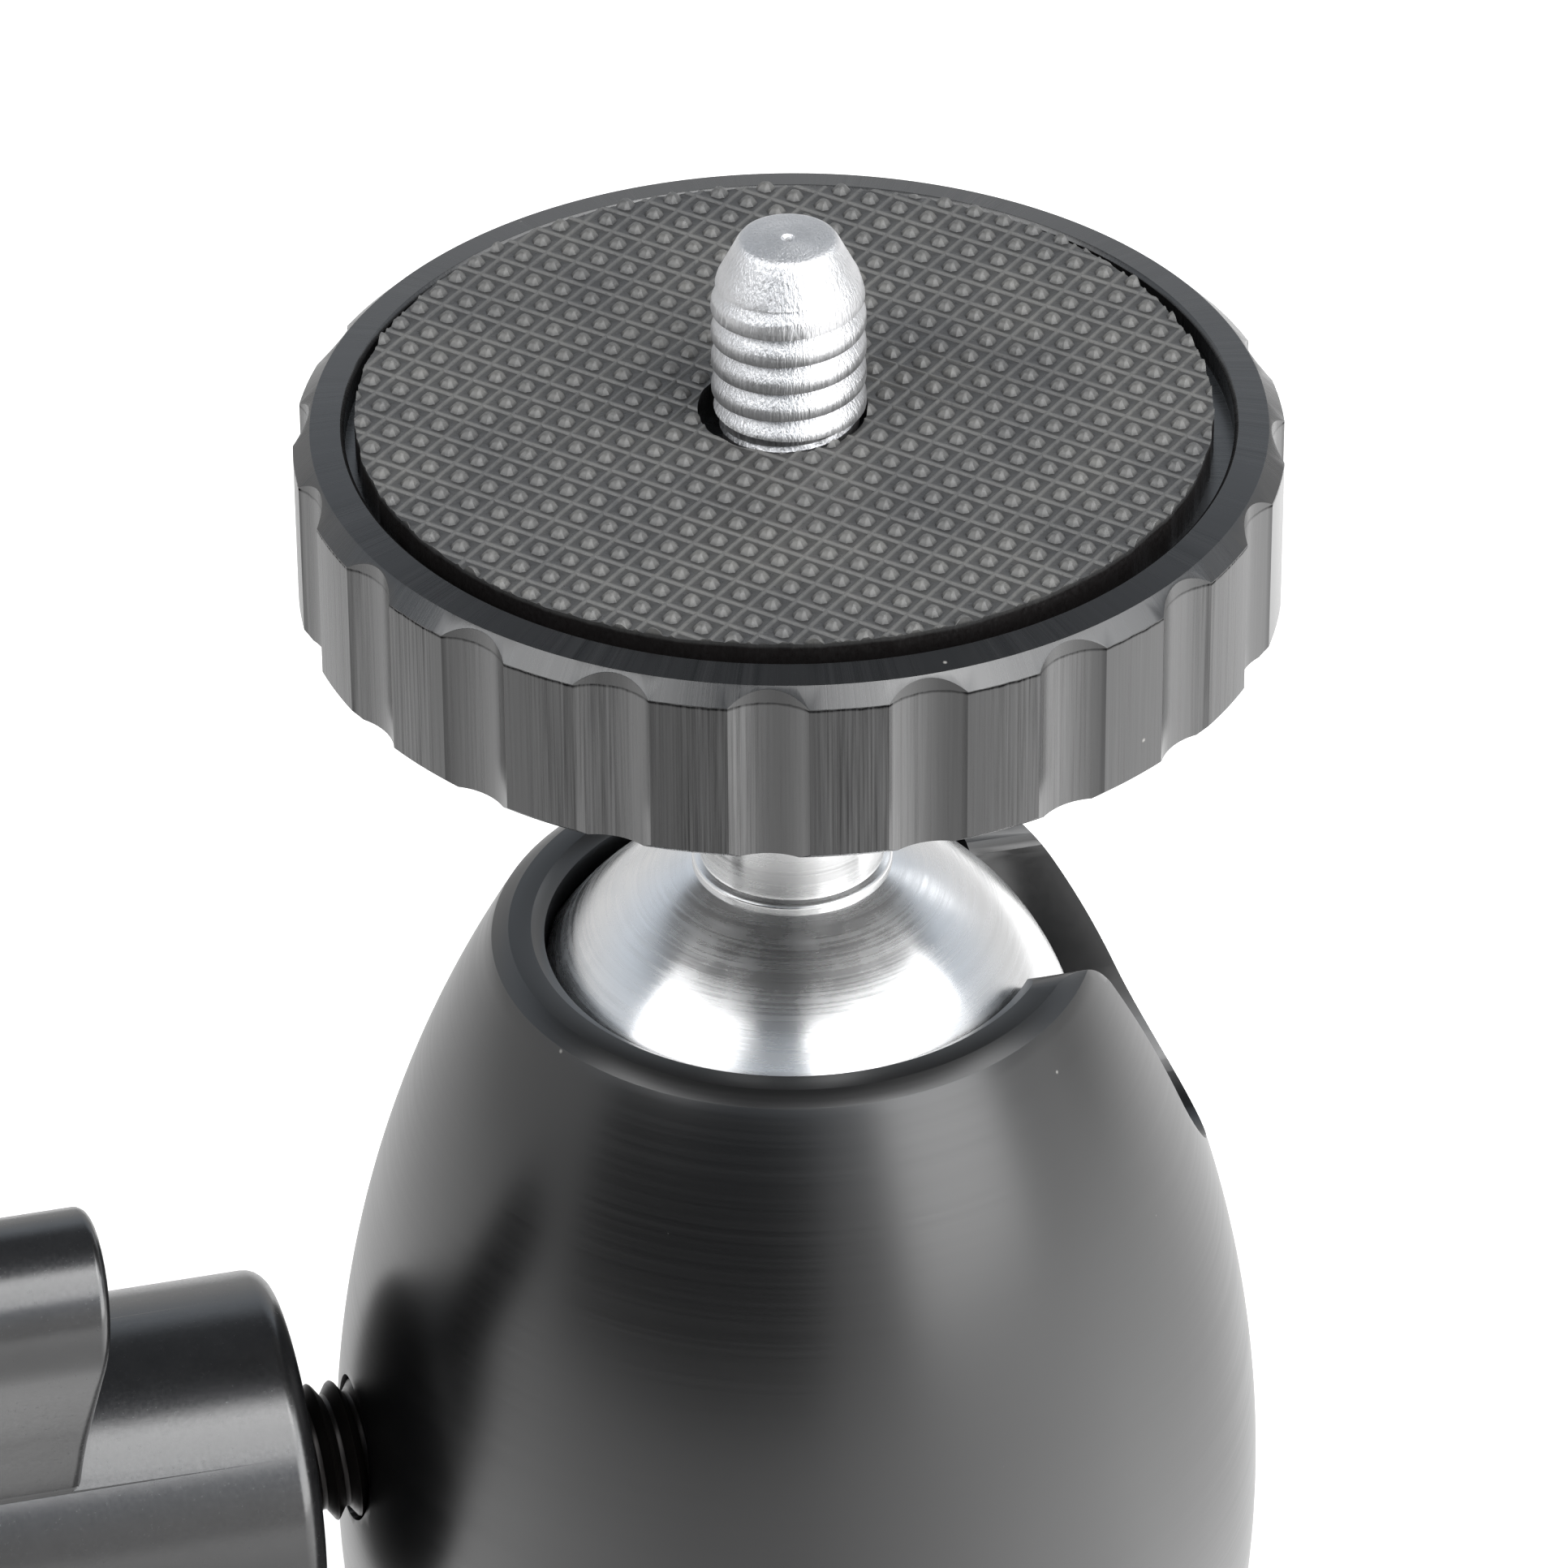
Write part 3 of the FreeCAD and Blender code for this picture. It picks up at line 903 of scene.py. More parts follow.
@dataclass(frozen=True)
class Anodised(Finish):
    """Dyed anodised aluminium: a dark satin skin over tool marks, with a little dust."""

    grain: Grain = Grain.AROUND
    marks: float = 0.0016
    mark_scale: float = 5200.0
    tone: float = 0.35
    dust: float = 0.02
    ior: float = 1.7
    spread: float = 0.03
    gleam: float = 0.0
    land: tuple[float, float] = (20.16, 72.67)

    def _upright(self, sheet: NodeSheet, place: bpy.types.NodeSocket) -> bpy.types.NodeSocket:
        """Coordinates that only follow the way round, and slowly the height.

        Args:
            sheet: the material's sheet.
            place: the object coordinates.

        Returns:
            The coordinates.
        """
        unit = sheet.vector("NORMALIZE", sheet.vector("MULTIPLY", place, FLAT))
        ring = sheet.scaled(unit, self.land[0] * MM)
        return sheet.vector("MULTIPLY_ADD", place, (0, 0, 0.012), ring)

    def _streaks(
        self, sheet: NodeSheet, place: bpy.types.NodeSocket
    ) -> tuple[bpy.types.NodeSocket, ...]:
        """Streaks along the axis, which are stronger in patches.

        Args:
            sheet: the material's sheet.
            place: the object coordinates.

        Returns:
            The fine streaks and the broad ones.
        """
        upright = self._upright(sheet, place)
        patches = sheet.between(sheet.noise(upright, 420, 2), 0.42, 0.6, 0.2, 1.0)
        streaks = []
        for scale, detail, rough in ((self.mark_scale, 4, 0.6), (2600, 3, 0.7)):
            swing = sheet.math("SUBTRACT", sheet.noise(upright, scale, detail, rough), 0.5)
            streaks.append(sheet.math("MULTIPLY_ADD", swing, patches, 0.5))
        return tuple(streaks)

    def _shine(
        self, sheet: NodeSheet, place: bpy.types.NodeSocket, fine: bpy.types.NodeSocket
    ) -> bpy.types.NodeSocket:
        """How strongly the fluted disc reflects: streaky lands, brighter flutes, a dark edge.

        Args:
            sheet: the material's sheet.
            place: the object coordinates.
            fine: the streaks.

        Returns:
            The specular level.
        """
        # The lands' radius, and the height of the chamfer's lower edge.
        land, edge = self.land
        away = sheet.length(sheet.vector("MULTIPLY", place, FLAT))
        flute = sheet.between(away, (land - 0.16) * MM, (land - 0.04) * MM, 0.2, 0.0)
        height = sheet.split(place)[2]
        ragged = sheet.math("MULTIPLY_ADD", sheet.noise(place, 2600, 3), 0.1 * MM, height)
        side = sheet.between(ragged, edge * MM, (edge + 0.05) * MM, 1.0, 0.0)
        streaks = sheet.around(fine, 0.0, self.gleam)
        tone = sheet.math("MULTIPLY_ADD", streaks, 0.7, sheet.math("ADD", flute, -0.07))
        level = sheet.math("MULTIPLY_ADD", tone, side, 0.5)
        below = sheet.between(ragged, (edge - 0.12) * MM, (edge - 0.03) * MM)
        line = sheet.math("MULTIPLY", below, side)
        return sheet.math("MULTIPLY_ADD", line, -0.42, level)

    def material(self) -> bpy.types.Material:
        """Makes the material.

        Returns:
            The finished material.
        """
        material, sheet, shader, place = self._start()
        if self.grain is Grain.AROUND:
            fine, broad = SharedEffects.rings(sheet, place, self.mark_scale)
        else:
            fine, broad = self._streaks(sheet, place)
        cloud = sheet.around(sheet.noise(place, 260, 3), 1.0, 0.15)
        worn = sheet.math("MULTIPLY", sheet.around(broad, 1.0, self.tone), cloud)
        tint = sheet.scaled(self.colour, worn)
        dust = SharedEffects.specks(sheet, place, 700.0, 0.1, self.dust)
        satin = sheet.around(fine, self.roughness, self.spread)
        values = {
            "Base Color": sheet.blend(dust, tint, (0.40, 0.39, 0.37, 1)),
            "Roughness": sheet.math("ADD", satin, sheet.math("MULTIPLY", dust, 0.4), clamp=True),
            "Normal": sheet.bump(fine, self.marks),
            "IOR": self.ior,
        }
        if self.gleam > 0:
            values["Specular IOR Level"] = self._shine(sheet, place, fine)
        sheet.wire(shader, values)
        return material


@dataclass(frozen=True)
class BareMetal(Finish):
    """Bare turned or polished metal, whose fine rings stretch its reflections across them."""

    marks: float = 0.0008
    mark_scale: float = 6500.0
    stretch: float = 0.6
    variation: float = 0.05
    axis: Optional[float] = None
    frost: float = 0.0

    def material(self) -> bpy.types.Material:
        """Makes the material.

        Returns:
            The finished material.
        """
        material, sheet, shader, place = self._start()
        along = self._turned_to(sheet, place, self.axis)
        fine, broad = SharedEffects.rings(sheet, along, self.mark_scale)
        smear = sheet.between(sheet.noise(place, 700, 3), 0.45, 0.75, 0.0, self.variation)
        rough = sheet.math("ADD", sheet.around(fine, self.roughness, self.variation), smear)
        relief = fine
        if self.frost > 0:
            scratches = sheet.noise(sheet.stretched(place, (1, 1, 0.07)), 7500, 3, 0.65)
            relief = sheet.math("MULTIPLY_ADD", scratches, self.frost, fine)
            matt = sheet.between(scratches, 0.38, 0.62, 0.0, 2 * self.variation)
            rough = sheet.math("ADD", rough, matt)
        shade = sheet.between(broad, *NOISE_TAILS, 0.9, 1.0)
        values = {
            "Base Color": sheet.scaled(self.colour, shade),
            "Roughness": rough,
            "Normal": sheet.bump(relief, self.marks),
        }
        if self.stretch > 0:
            tangent = sheet.add("Tangent", direction_type="RADIAL")
            tangent.axis = "Z" if self.axis is None else "X"
            values["Anisotropic"] = self.stretch
            values["Anisotropic Rotation"] = 0.25
            values["Tangent"] = tangent.outputs[0]
        sheet.wire(shader, values)
        return material


@dataclass(frozen=True)
class Rubber(Finish):
    """Moulded black rubber, greyed and browned by handling, with painted shade in its pans and down
    its side wall.
    """

    worn: tuple[float, float, float] = (0.125, 0.124, 0.117)
    wall_top: float = 73.75
    pan: float = 73.94
    fade: float = 0.12

    def material(self) -> bpy.types.Material:
        """Makes the material.

        Returns:
            The finished material.
        """
        material, sheet, shader, place = self._start()
        rub = sheet.between(sheet.noise(place, 210, 5, 0.62), 0.36, 0.66, 0.3, 1.0)
        grit = sheet.noise(place, 5200, 3, 0.6)
        grey = sheet.math("MULTIPLY", rub, sheet.between(grit, *NOISE_TAILS, 0.6, 1.0))
        colour = sheet.blend(grey, (*self.colour, 1), (*self.worn, 1))
        dust = SharedEffects.specks(sheet, place, 800.0, 0.1, 0.035)
        colour = sheet.blend(dust, colour, (0.42, 0.38, 0.30, 1))
        height = sheet.split(place)[2]
        # Painted shade: the colour darkens towards the floors of the pans round the pips and down
        # the pad's side wall, where shadow falls.
        shadows = (
            (self.pan, 0.75, (0.012, 0.012, 0.013, 1)),
            (self.wall_top, 0.94, (0.006, 0.005, 0.005, 1)),
        )
        for low, share, dark in shadows:
            depth = sheet.between(height, low * MM, (low + self.fade) * MM, share, 0.0)
            colour = sheet.blend(depth, colour, dark)
        cut = sheet.noise(sheet.stretched(place, (1, 1, 0.15)), 3800, 4, 0.65)
        values = {
            "Base Color": colour,
            "Roughness": sheet.around(grit, self.roughness, 0.1),
            "Normal": sheet.bump(cut, 0.03),
            "IOR": 1.5,
        }
        sheet.wire(shader, values)
        return material


@dataclass(frozen=True)
class Paint(Finish):
    """Black paint over a die casting, with a slight skin and a few grains in it."""

    skin: float = 0.006

    def material(self) -> bpy.types.Material:
        """Makes the material.

        Returns:
            The finished material.
        """
        material, sheet, shader, place = self._start()
        peel = sheet.noise(place, 900, 2)
        fine = sheet.noise(place, 6000, 3, 0.6)
        grains = SharedEffects.specks(sheet, place, 420.0, 0.13, 0.06)
        lint = SharedEffects.specks(sheet, place, 610.0, 0.1, 0.04)
        shade = sheet.between(peel, *NOISE_TAILS, 0.0, 0.4)
        base = sheet.blend(shade, (*self.colour, 1), tuple(2 * v for v in self.colour) + (1,))
        height = sheet.math("MULTIPLY_ADD", grains, 3.0, peel)
        values = {
            "Base Color": sheet.blend(lint, base, (0.3, 0.28, 0.25, 1)),
            "Roughness": sheet.around(fine, self.roughness, 0.04),
            "Normal": sheet.bump(sheet.math("MULTIPLY_ADD", fine, 0.25, height), self.skin),
            "IOR": 1.86,
        }
        sheet.wire(shader, values)
        return material


@dataclass(frozen=True)
class PlainStock(Finish):
    """Small hidden parts of metal or polymer, with grain, tone and roughness of their own."""

    grain_scale: float = 1800.0
    depth: float = 0.002

    def material(self) -> bpy.types.Material:
        """Makes the material.

        Returns:
            The finished material.
        """
        material, sheet, shader, place = self._start()
        fine = sheet.noise(place, self.grain_scale, 4, 0.6)
        cloud = sheet.noise(place, self.grain_scale * 0.12, 3)
        shade = sheet.between(cloud, *NOISE_TAILS, 0.78, 1.12)
        values = {
            "Base Color": sheet.scaled(self.colour, shade),
            "Roughness": sheet.around(fine, self.roughness, 0.08),
            "Normal": sheet.bump(fine, self.depth),
        }
        sheet.wire(shader, values)
        return material


class Finishes:
    """Every finish of the head, made once."""

    def __init__(self) -> None:
        """Makes the materials."""
        self.body = Anodised(
            "anodised body",
            (0.0018, 0.0019, 0.0022),
            0.30,
            marks=0.00006,
            tone=0.05,
            dust=0.05,
            spread=0.02,
        ).material()
        self.disc = Anodised(
            "anodised disc",
            (0.0065, 0.0065, 0.0068),
            0.28,
            grain=Grain.UPRIGHT,
            marks=0.004,
            mark_scale=9500.0,
            tone=0.9,
            dust=0.07,
            ior=1.75,
            spread=0.05,
            gleam=0.36,
        ).material()
        self.plug = Anodised(
            "anodised plug", (0.010, 0.010, 0.011), 0.34, marks=0.003, mark_scale=3600.0
        ).material()
        self.ball = BareMetal(
            "polished ball",
            (0.80, 0.80, 0.80),
            0.25,
            1.0,
            marks=0.0012,
            stretch=0.75,
            variation=0.065,
        ).material()
        self.stud = BareMetal(
            "turned stud",
            (0.70, 0.70, 0.71),
            0.33,
            1.0,
            marks=0.0014,
            stretch=0.5,
            variation=0.05,
            frost=40.0,
        ).material()
        self.rubber = Rubber("pad rubber", (0.055, 0.056, 0.058), 0.36).material()
        self.paint = Paint("handle paint", (0.0075, 0.0075, 0.008), 0.235).material()
        self.black_steel = BareMetal(
            "blackened steel",
            (0.013, 0.0115, 0.011),
            0.36,
            0.75,
            marks=0.002,
            stretch=0.0,
            axis=24.3,
        ).material()
        self.steel = PlainStock("plain steel", (0.50, 0.50, 0.50), 0.32, 1.0).material()
        self.spring = PlainStock("spring steel", (0.30, 0.29, 0.28), 0.36, 1.0).material()
        self.brass = PlainStock("brass", (0.62, 0.44, 0.19), 0.30, 1.0).material()
        self.liner = PlainStock(
            "liner polymer", (0.055, 0.055, 0.058), 0.5, 0.0, grain_scale=2600.0
        ).material()
        self.block = BareMetal(
            "turned block", (0.76, 0.76, 0.77), 0.30, 1.0, marks=0.002, stretch=0.0
        ).material()


class SubAssembly:
    """What every sub-assembly does with its pieces."""

    def __init__(self, finishes: Finishes) -> None:
        """Keeps the finishes.

        Args:
            finishes: the head's finishes.
        """
        self.finishes = finishes

    @staticmethod
    def stand_for(
        piece: bpy.types.Object, node: str, slot: str, material: bpy.types.Material
    ) -> None:
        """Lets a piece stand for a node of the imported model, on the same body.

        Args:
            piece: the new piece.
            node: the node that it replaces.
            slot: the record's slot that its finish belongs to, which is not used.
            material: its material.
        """
        piece.data.materials.clear()
        piece.data.materials.append(material)
        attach(piece, frame["nodes"][node]["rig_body"])
        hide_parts(node)
        LOG.info("%s stands for %s: %d faces", piece.name, node, len(piece.data.polygons))

    @staticmethod
    def dress(node: str, material: bpy.types.Material) -> None:
        """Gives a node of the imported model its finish.

        Args:
            node: the node's name.
            material: its material.
        """
        for slot in frame["nodes"][node].material_slots:
            slot.material = material
        LOG.info("%s keeps its shape and wears %s", node, material.name)


@dataclass
class PlatformSizes:
    """Sizes of the disc, the pad and the stud."""

    disc_radius: float = 20.16
    bottom: float = 65.5
    top: float = 73.55
    top_chamfer: float = 0.7
    ring_fall: float = 0.18
    bottom_chamfer: float = 0.3
    flutes: int = 20
    flute_width: float = 3.2
    flute_depth: float = 0.6
    flute_phase: float = 1.4
    recess_radius: float = 18.06
    recess_floor: float = 72.35
    entry_radius: float = 3.875
    entry_top: float = 67.5
    shank_hole: float = 2.55
    pad_radius: float = 17.45
    recess_bevel: float = 0.16
    pad_hole: float = 3.46
    hole_offset: float = 0.27
    pad_top: float = 74.25
    pad_offset: float = 0.2
    edge_grain: float = 1.1
    edge_wobble: float = 0.34
    cell: float = 1.42
    cell_turn: float = 44.0
    cell_count: int = 27
    cell_insets: tuple[tuple[float, float], ...] = ((0.04, 0), (0.07, -0.075), (0.22, -0.03))
    cell_corner: float = 0.2
    pip_insets: tuple[tuple[float, float], ...] = ((0.10, 0.13), (0.11, 0.12), (0.07, 0.04))
    stud_radius: float = 3.15
    stud_root: float = 2.72
    stud_pitch: float = 1.27
    thread_slack: float = 0.1
    thread_tries: int = 5
    stud_top: float = 81.95
    shank_bottom: float = 59.35
    shank_radius: float = 2.5
    shank_chamfer: float = 0.25
    relief_radius: float = 2.85
    relief_gap: float = 0.15
    centre_mark: float = 0.3
    mark_depth: float = 0.34
    tip_inset: float = 1.24
    # How far outside the thread, and how far below the stud's top, the rounded tip begins.
    shoulder: tuple[tuple[float, float], ...] = (
        (0.4, 3.6), (0.01, 3.2), (-0.08, 2.45), (-0.26, 1.8), (-0.42, 1.5),
    )
    # The same for the edge of its flat end, from there on.
    tip_edge: tuple[tuple[float, float], ...] = ((0.2, 0.26), (0.06, 0.06), (-0.08, 0.0))


class Platform(SubAssembly):
    """The fluted disc, the rubber pad and the camera stud."""

    sizes = PlatformSizes()

    def build(self) -> None:
        """Builds and dresses the platform."""
        self.stand_for(self._disc(), "platform_disc", "black_anodised", self.finishes.disc)
        self.stand_for(self._pad(), "platform_pad", "rubber", self.finishes.rubber)
        self.stand_for(self._stud(), "camera_stud", "turned_aluminium", self.finishes.stud)
        self.dress("platform_lock_washer", self.finishes.spring)

    def _disc(self) -> bpy.types.Object:
        """Turns the disc and cuts its flutes.

        Returns:
            The disc.
        """
        s = self.sizes
        disc = Bench.turned(
            "fluted_disc",
            [
                (s.entry_radius, s.bottom),
                (s.disc_radius - s.bottom_chamfer, s.bottom),
                (s.disc_radius, s.bottom + s.bottom_chamfer),
                (s.disc_radius, s.top - s.top_chamfer - s.ring_fall),
                (s.disc_radius - s.top_chamfer, s.top - s.ring_fall),
                (s.recess_radius + s.recess_bevel, s.top),
                (s.recess_radius, s.top - s.recess_bevel),
                (s.recess_radius, s.recess_floor),
                (s.shank_hole, s.recess_floor),
                (s.shank_hole, s.entry_top),
                (s.entry_radius, s.entry_top),
            ],
            steps=240,
        )
        half = s.flute_width / 2
        sagitta = s.flute_depth - (s.disc_radius - math.sqrt(s.disc_radius**2 - half**2))
        radius = (half**2 + sagitta**2) / (2 * sagitta)
        centre = s.disc_radius - s.flute_depth + radius
        cutters = []
        for number in range(s.flutes):
            turn = math.radians(s.flute_phase + 360 * number / s.flutes)
            out = Vector((centre * math.cos(turn), centre * math.sin(turn), 0))
            low = out + Vector((0, 0, s.bottom - 1))
            high = out + Vector((0, 0, s.top + 1))
            cutters.append(Bench.rod("flute", radius, low, high, 72))
        Bench.combine(disc, [Bench.joined(cutters)], Cut.TAKE_AWAY)
        return Bench.soften(disc, 0.035, 2, 24)

    def _pad_cell(self) -> bpy.types.Object:
        """Shapes one cell of the pad's surface: a low border, a pan and a pip in its middle.

        Returns:
            The cell, at one corner of the sheet.
        """
        s = self.sizes
        Bench.clear()
        bpy.ops.mesh.primitive_plane_add(size=s.cell * MM, location=(0, 0, (s.pad_top - 0.2) * MM))
        cell = bpy.context.active_object
        cell.name = "pad_cell"
        Bench.settle(cell)
        with Bench.editing(cell, "FACE"):
            bpy.ops.mesh.select_all(action="SELECT")
            for thickness, depth in s.cell_insets:
                bpy.ops.mesh.inset(thickness=thickness * MM, depth=depth * MM)
            bpy.ops.mesh.bevel(offset=s.cell_corner * MM, affect="VERTICES")
            bpy.ops.mesh.select_all(action="DESELECT")
            bpy.ops.mesh.select_face_by_sides(number=8, type="EQUAL")
            for thickness, depth in s.pip_insets:
                bpy.ops.mesh.inset(thickness=thickness * MM, depth=depth * MM)
        return cell

    def _pad(self) -> bpy.types.Object:
        """Repeats the cell into a sheet, cuts the sheet round and roughens its edge.

        Returns:
            The pad.
        """
        s = self.sizes
        pad = self._pad_cell()
        pad.name = "rubber_pad"
        for name, direction in (("along", (1, 0, 0)), ("across", (0, 1, 0))):
            rows = pad.modifiers.new(name, "ARRAY")
            rows.count = s.cell_count
            rows.use_relative_offset = False
            rows.use_constant_offset = True
            rows.constant_offset_displace = Vector(direction) * s.cell * MM
            rows.use_merge_vertices = True
            rows.merge_threshold = 1e-6
            Bench.apply(pad, name)
        back = -(s.cell_count - 1) / 2 * s.cell
        turn = Matrix.Rotation(math.radians(s.cell_turn), 4, "Z")
        pad.matrix_world = turn @ Matrix.Translation((back * MM, back * MM, 0))
        Bench.settle(pad)
        with Bench.editing(pad, "EDGE"):
            bpy.ops.mesh.select_non_manifold()
            drop = (s.recess_floor - s.pad_top + 0.2) * MM
            Bench.push((0, 0, drop))
            bpy.ops.mesh.edge_face_add()
            Bench.outwards()
        edge = Bench.turned(
            "pad_edge",
            [
                (0, s.recess_floor - 1),
                (s.pad_radius, s.recess_floor - 1),
                (s.pad_radius, s.pad_top + 1),
                (0, s.pad_top + 1),
            ],
            steps=300,
        )
        edge.location.x = -s.pad_offset * MM
        Bench.settle(edge)
        ragged = bpy.data.textures.new("ragged edge", "CLOUDS")
        ragged.noise_scale = s.edge_grain * MM
        ragged.noise_depth = 2
        wobble = edge.modifiers.new("wobble", "DISPLACE")
        wobble.texture = ragged
        wobble.texture_coords = "LOCAL"
        wobble.strength = s.edge_wobble * MM
        wobble.mid_level = 0.72
        Bench.apply(edge, "wobble")
        middle = Vector((-s.hole_offset, 0, s.pad_top))
        low = middle - Vector((0, 0, 6))
        punch = Bench.rod("punch", s.pad_hole, low, middle + Vector((0, 0, 4)), 72)
        Bench.combine(edge, [punch], Cut.TAKE_AWAY)
        Bench.combine(pad, [edge], Cut.KEEP_SHARED)
        return Bench.soften(pad, 0.0, degrees=26)

    def _tipped_thread(self) -> bpy.types.Object:
        """Winds the camera thread and cuts it to its tip and its relief.

        Returns:
            The thread, without its shank.
        """
        s = self.sizes
        thread = Bench.threaded(
            "camera_thread",
            s.stud_radius,
            s.stud_root,
            s.stud_pitch,
            s.pad_top - 0.9,
            s.stud_top + 1,
            blunt=True,
        )
        tip = s.stud_radius - s.tip_inset
        envelope = Bench.turned(
            "stud_envelope",
            [
                (0, s.pad_top - 1.6),
                (s.relief_radius, s.pad_top - 1.6),
                (s.relief_radius, s.pad_top - 0.2),
                (s.stud_radius + 0.4, s.pad_top + 0.25),
                *((s.stud_radius + wide, s.stud_top - deep) for wide, deep in s.shoulder),
                *((tip + wide, s.stud_top - deep) for wide, deep in s.tip_edge),
                (s.centre_mark, s.stud_top),
                (0, s.stud_top - s.mark_depth),
            ],
            steps=112,
        )
        Bench.combine(thread, [envelope], Cut.KEEP_SHARED)
        return thread

    def _stud(self) -> bpy.types.Object:
        """Makes the camera stud in one piece.

        The exact solver leaves the wall of the cut's outline standing once in a while. The thread
        is then wider than it may be, and is made again.

        Returns:
            The stud.
        """
        s = self.sizes
        thread = self._tipped_thread()
        for _ in range(s.thread_tries):
            widest = max(corner.co.xy.length for corner in thread.data.vertices)
            if widest < (s.stud_radius + s.thread_slack) * MM:
                break
            LOG.info("the camera thread is made again")
            Bench.discard(thread)
            thread = self._tipped_thread()
        shank = Bench.turned(
            "stud_shank",
            [
                (0, s.shank_bottom),
                (s.shank_radius - s.shank_chamfer, s.shank_bottom),
                (s.shank_radius, s.shank_bottom + s.shank_chamfer),
                (s.shank_radius, s.recess_floor),
                (s.relief_radius - s.relief_gap, s.recess_floor),
                (s.relief_radius - s.relief_gap, s.pad_top - 0.25),
                (0, s.pad_top - 0.25),
            ],
            steps=112,
        )
        Bench.combine(thread, [shank], Cut.ADD)
        thread.name = "threaded_stud"
        return Bench.soften(thread, 0.0, degrees=32)


@dataclass
class BallSizes:
    """Sizes of the ball and its neck."""

    centre: float = 40.0
    radius: float = 12.4
    neck_radius: float = 3.825
    foot_radius: float = 4.2
    foot_height: float = 0.55
    neck_top: float = 66.85
    end_chamfer: float = 0.3
    hole_radius: float = 2.55
    hole_bottom: float = 59.3


class Ball(SubAssembly):
    """The ball with its neck, and the liner that it turns in."""

    sizes = BallSizes()

    def build(self) -> None:
        """Builds and dresses the ball."""
        self.stand_for(self._ball(), "ball_and_neck", "polished_aluminium", self.finishes.ball)
        self.dress("seat_liner", self.finishes.liner)

    def _ball(self) -> bpy.types.Object:
        """Turns the ball and its neck in one piece.

        Returns:
            The ball.
        """
        s = self.sizes
        foot_deg = math.degrees(math.acos(s.foot_radius / s.radius))
        ball = arc_places(s.radius, (0, s.centre), -88.5, foot_deg, 100)
        foot = ball[-1][1]
        profile = [(0.0, s.centre - s.radius)] + ball
        profile += arc_places(0.2, (s.foot_radius - 0.2, foot + 0.28), 0, 62, 5)
        profile += [
            (s.neck_radius + 0.04, foot + s.foot_height),
            (s.neck_radius, foot + s.foot_height + 0.12),
            (s.neck_radius, s.neck_top - s.end_chamfer),
            (s.neck_radius - s.end_chamfer, s.neck_top),
            (s.hole_radius, s.neck_top),
            (s.hole_radius, s.hole_bottom),
            (0.0, s.hole_bottom),
        ]
        piece = Bench.turned("ball_with_neck", profile, steps=224)
        return Bench.soften(piece, 0.0, degrees=28)


@dataclass
class HousingSizes:
    """Sizes of the housing and of what is cut from it."""

    ball_centre: float = 40.0
    equator_radius: float = 20.05
    equator_height: float = 19.7
    rim_edge: tuple[float, float] = (12.67, 47.95)
    rim_flat_outer: tuple[float, float] = (11.95, 48.4)
    rim_flat_inner: tuple[float, float] = (11.0, 48.4)
    rim_wall_top: tuple[float, float] = (10.45, 48.0)
    lip: tuple[float, float] = (10.45, 46.77)
    seat_radius: float = 12.45
    seat_foot_height: float = 40.8
    bore_radius: float = 13.5
    plug_hole: float = 14.51
    plug_top: float = 12.5
    base_chamfer: float = 0.6
    notch_half: float = 5.0
    notch_corner: float = 2.2
    notch_top: float = 48.4
    screw_height: float = 24.3
    screw_hole: float = 3.15
    bush_hole: float = 4.52
    bush_reach: float = 17.99
    grub_hole: float = 1.52
    grub_height: float = 5.0
    grub_inner: float = 13.07
    pin_hole: float = 1.02
    pin_height: float = 19.35
    pin_reach: tuple[float, float] = (12, 15.09)


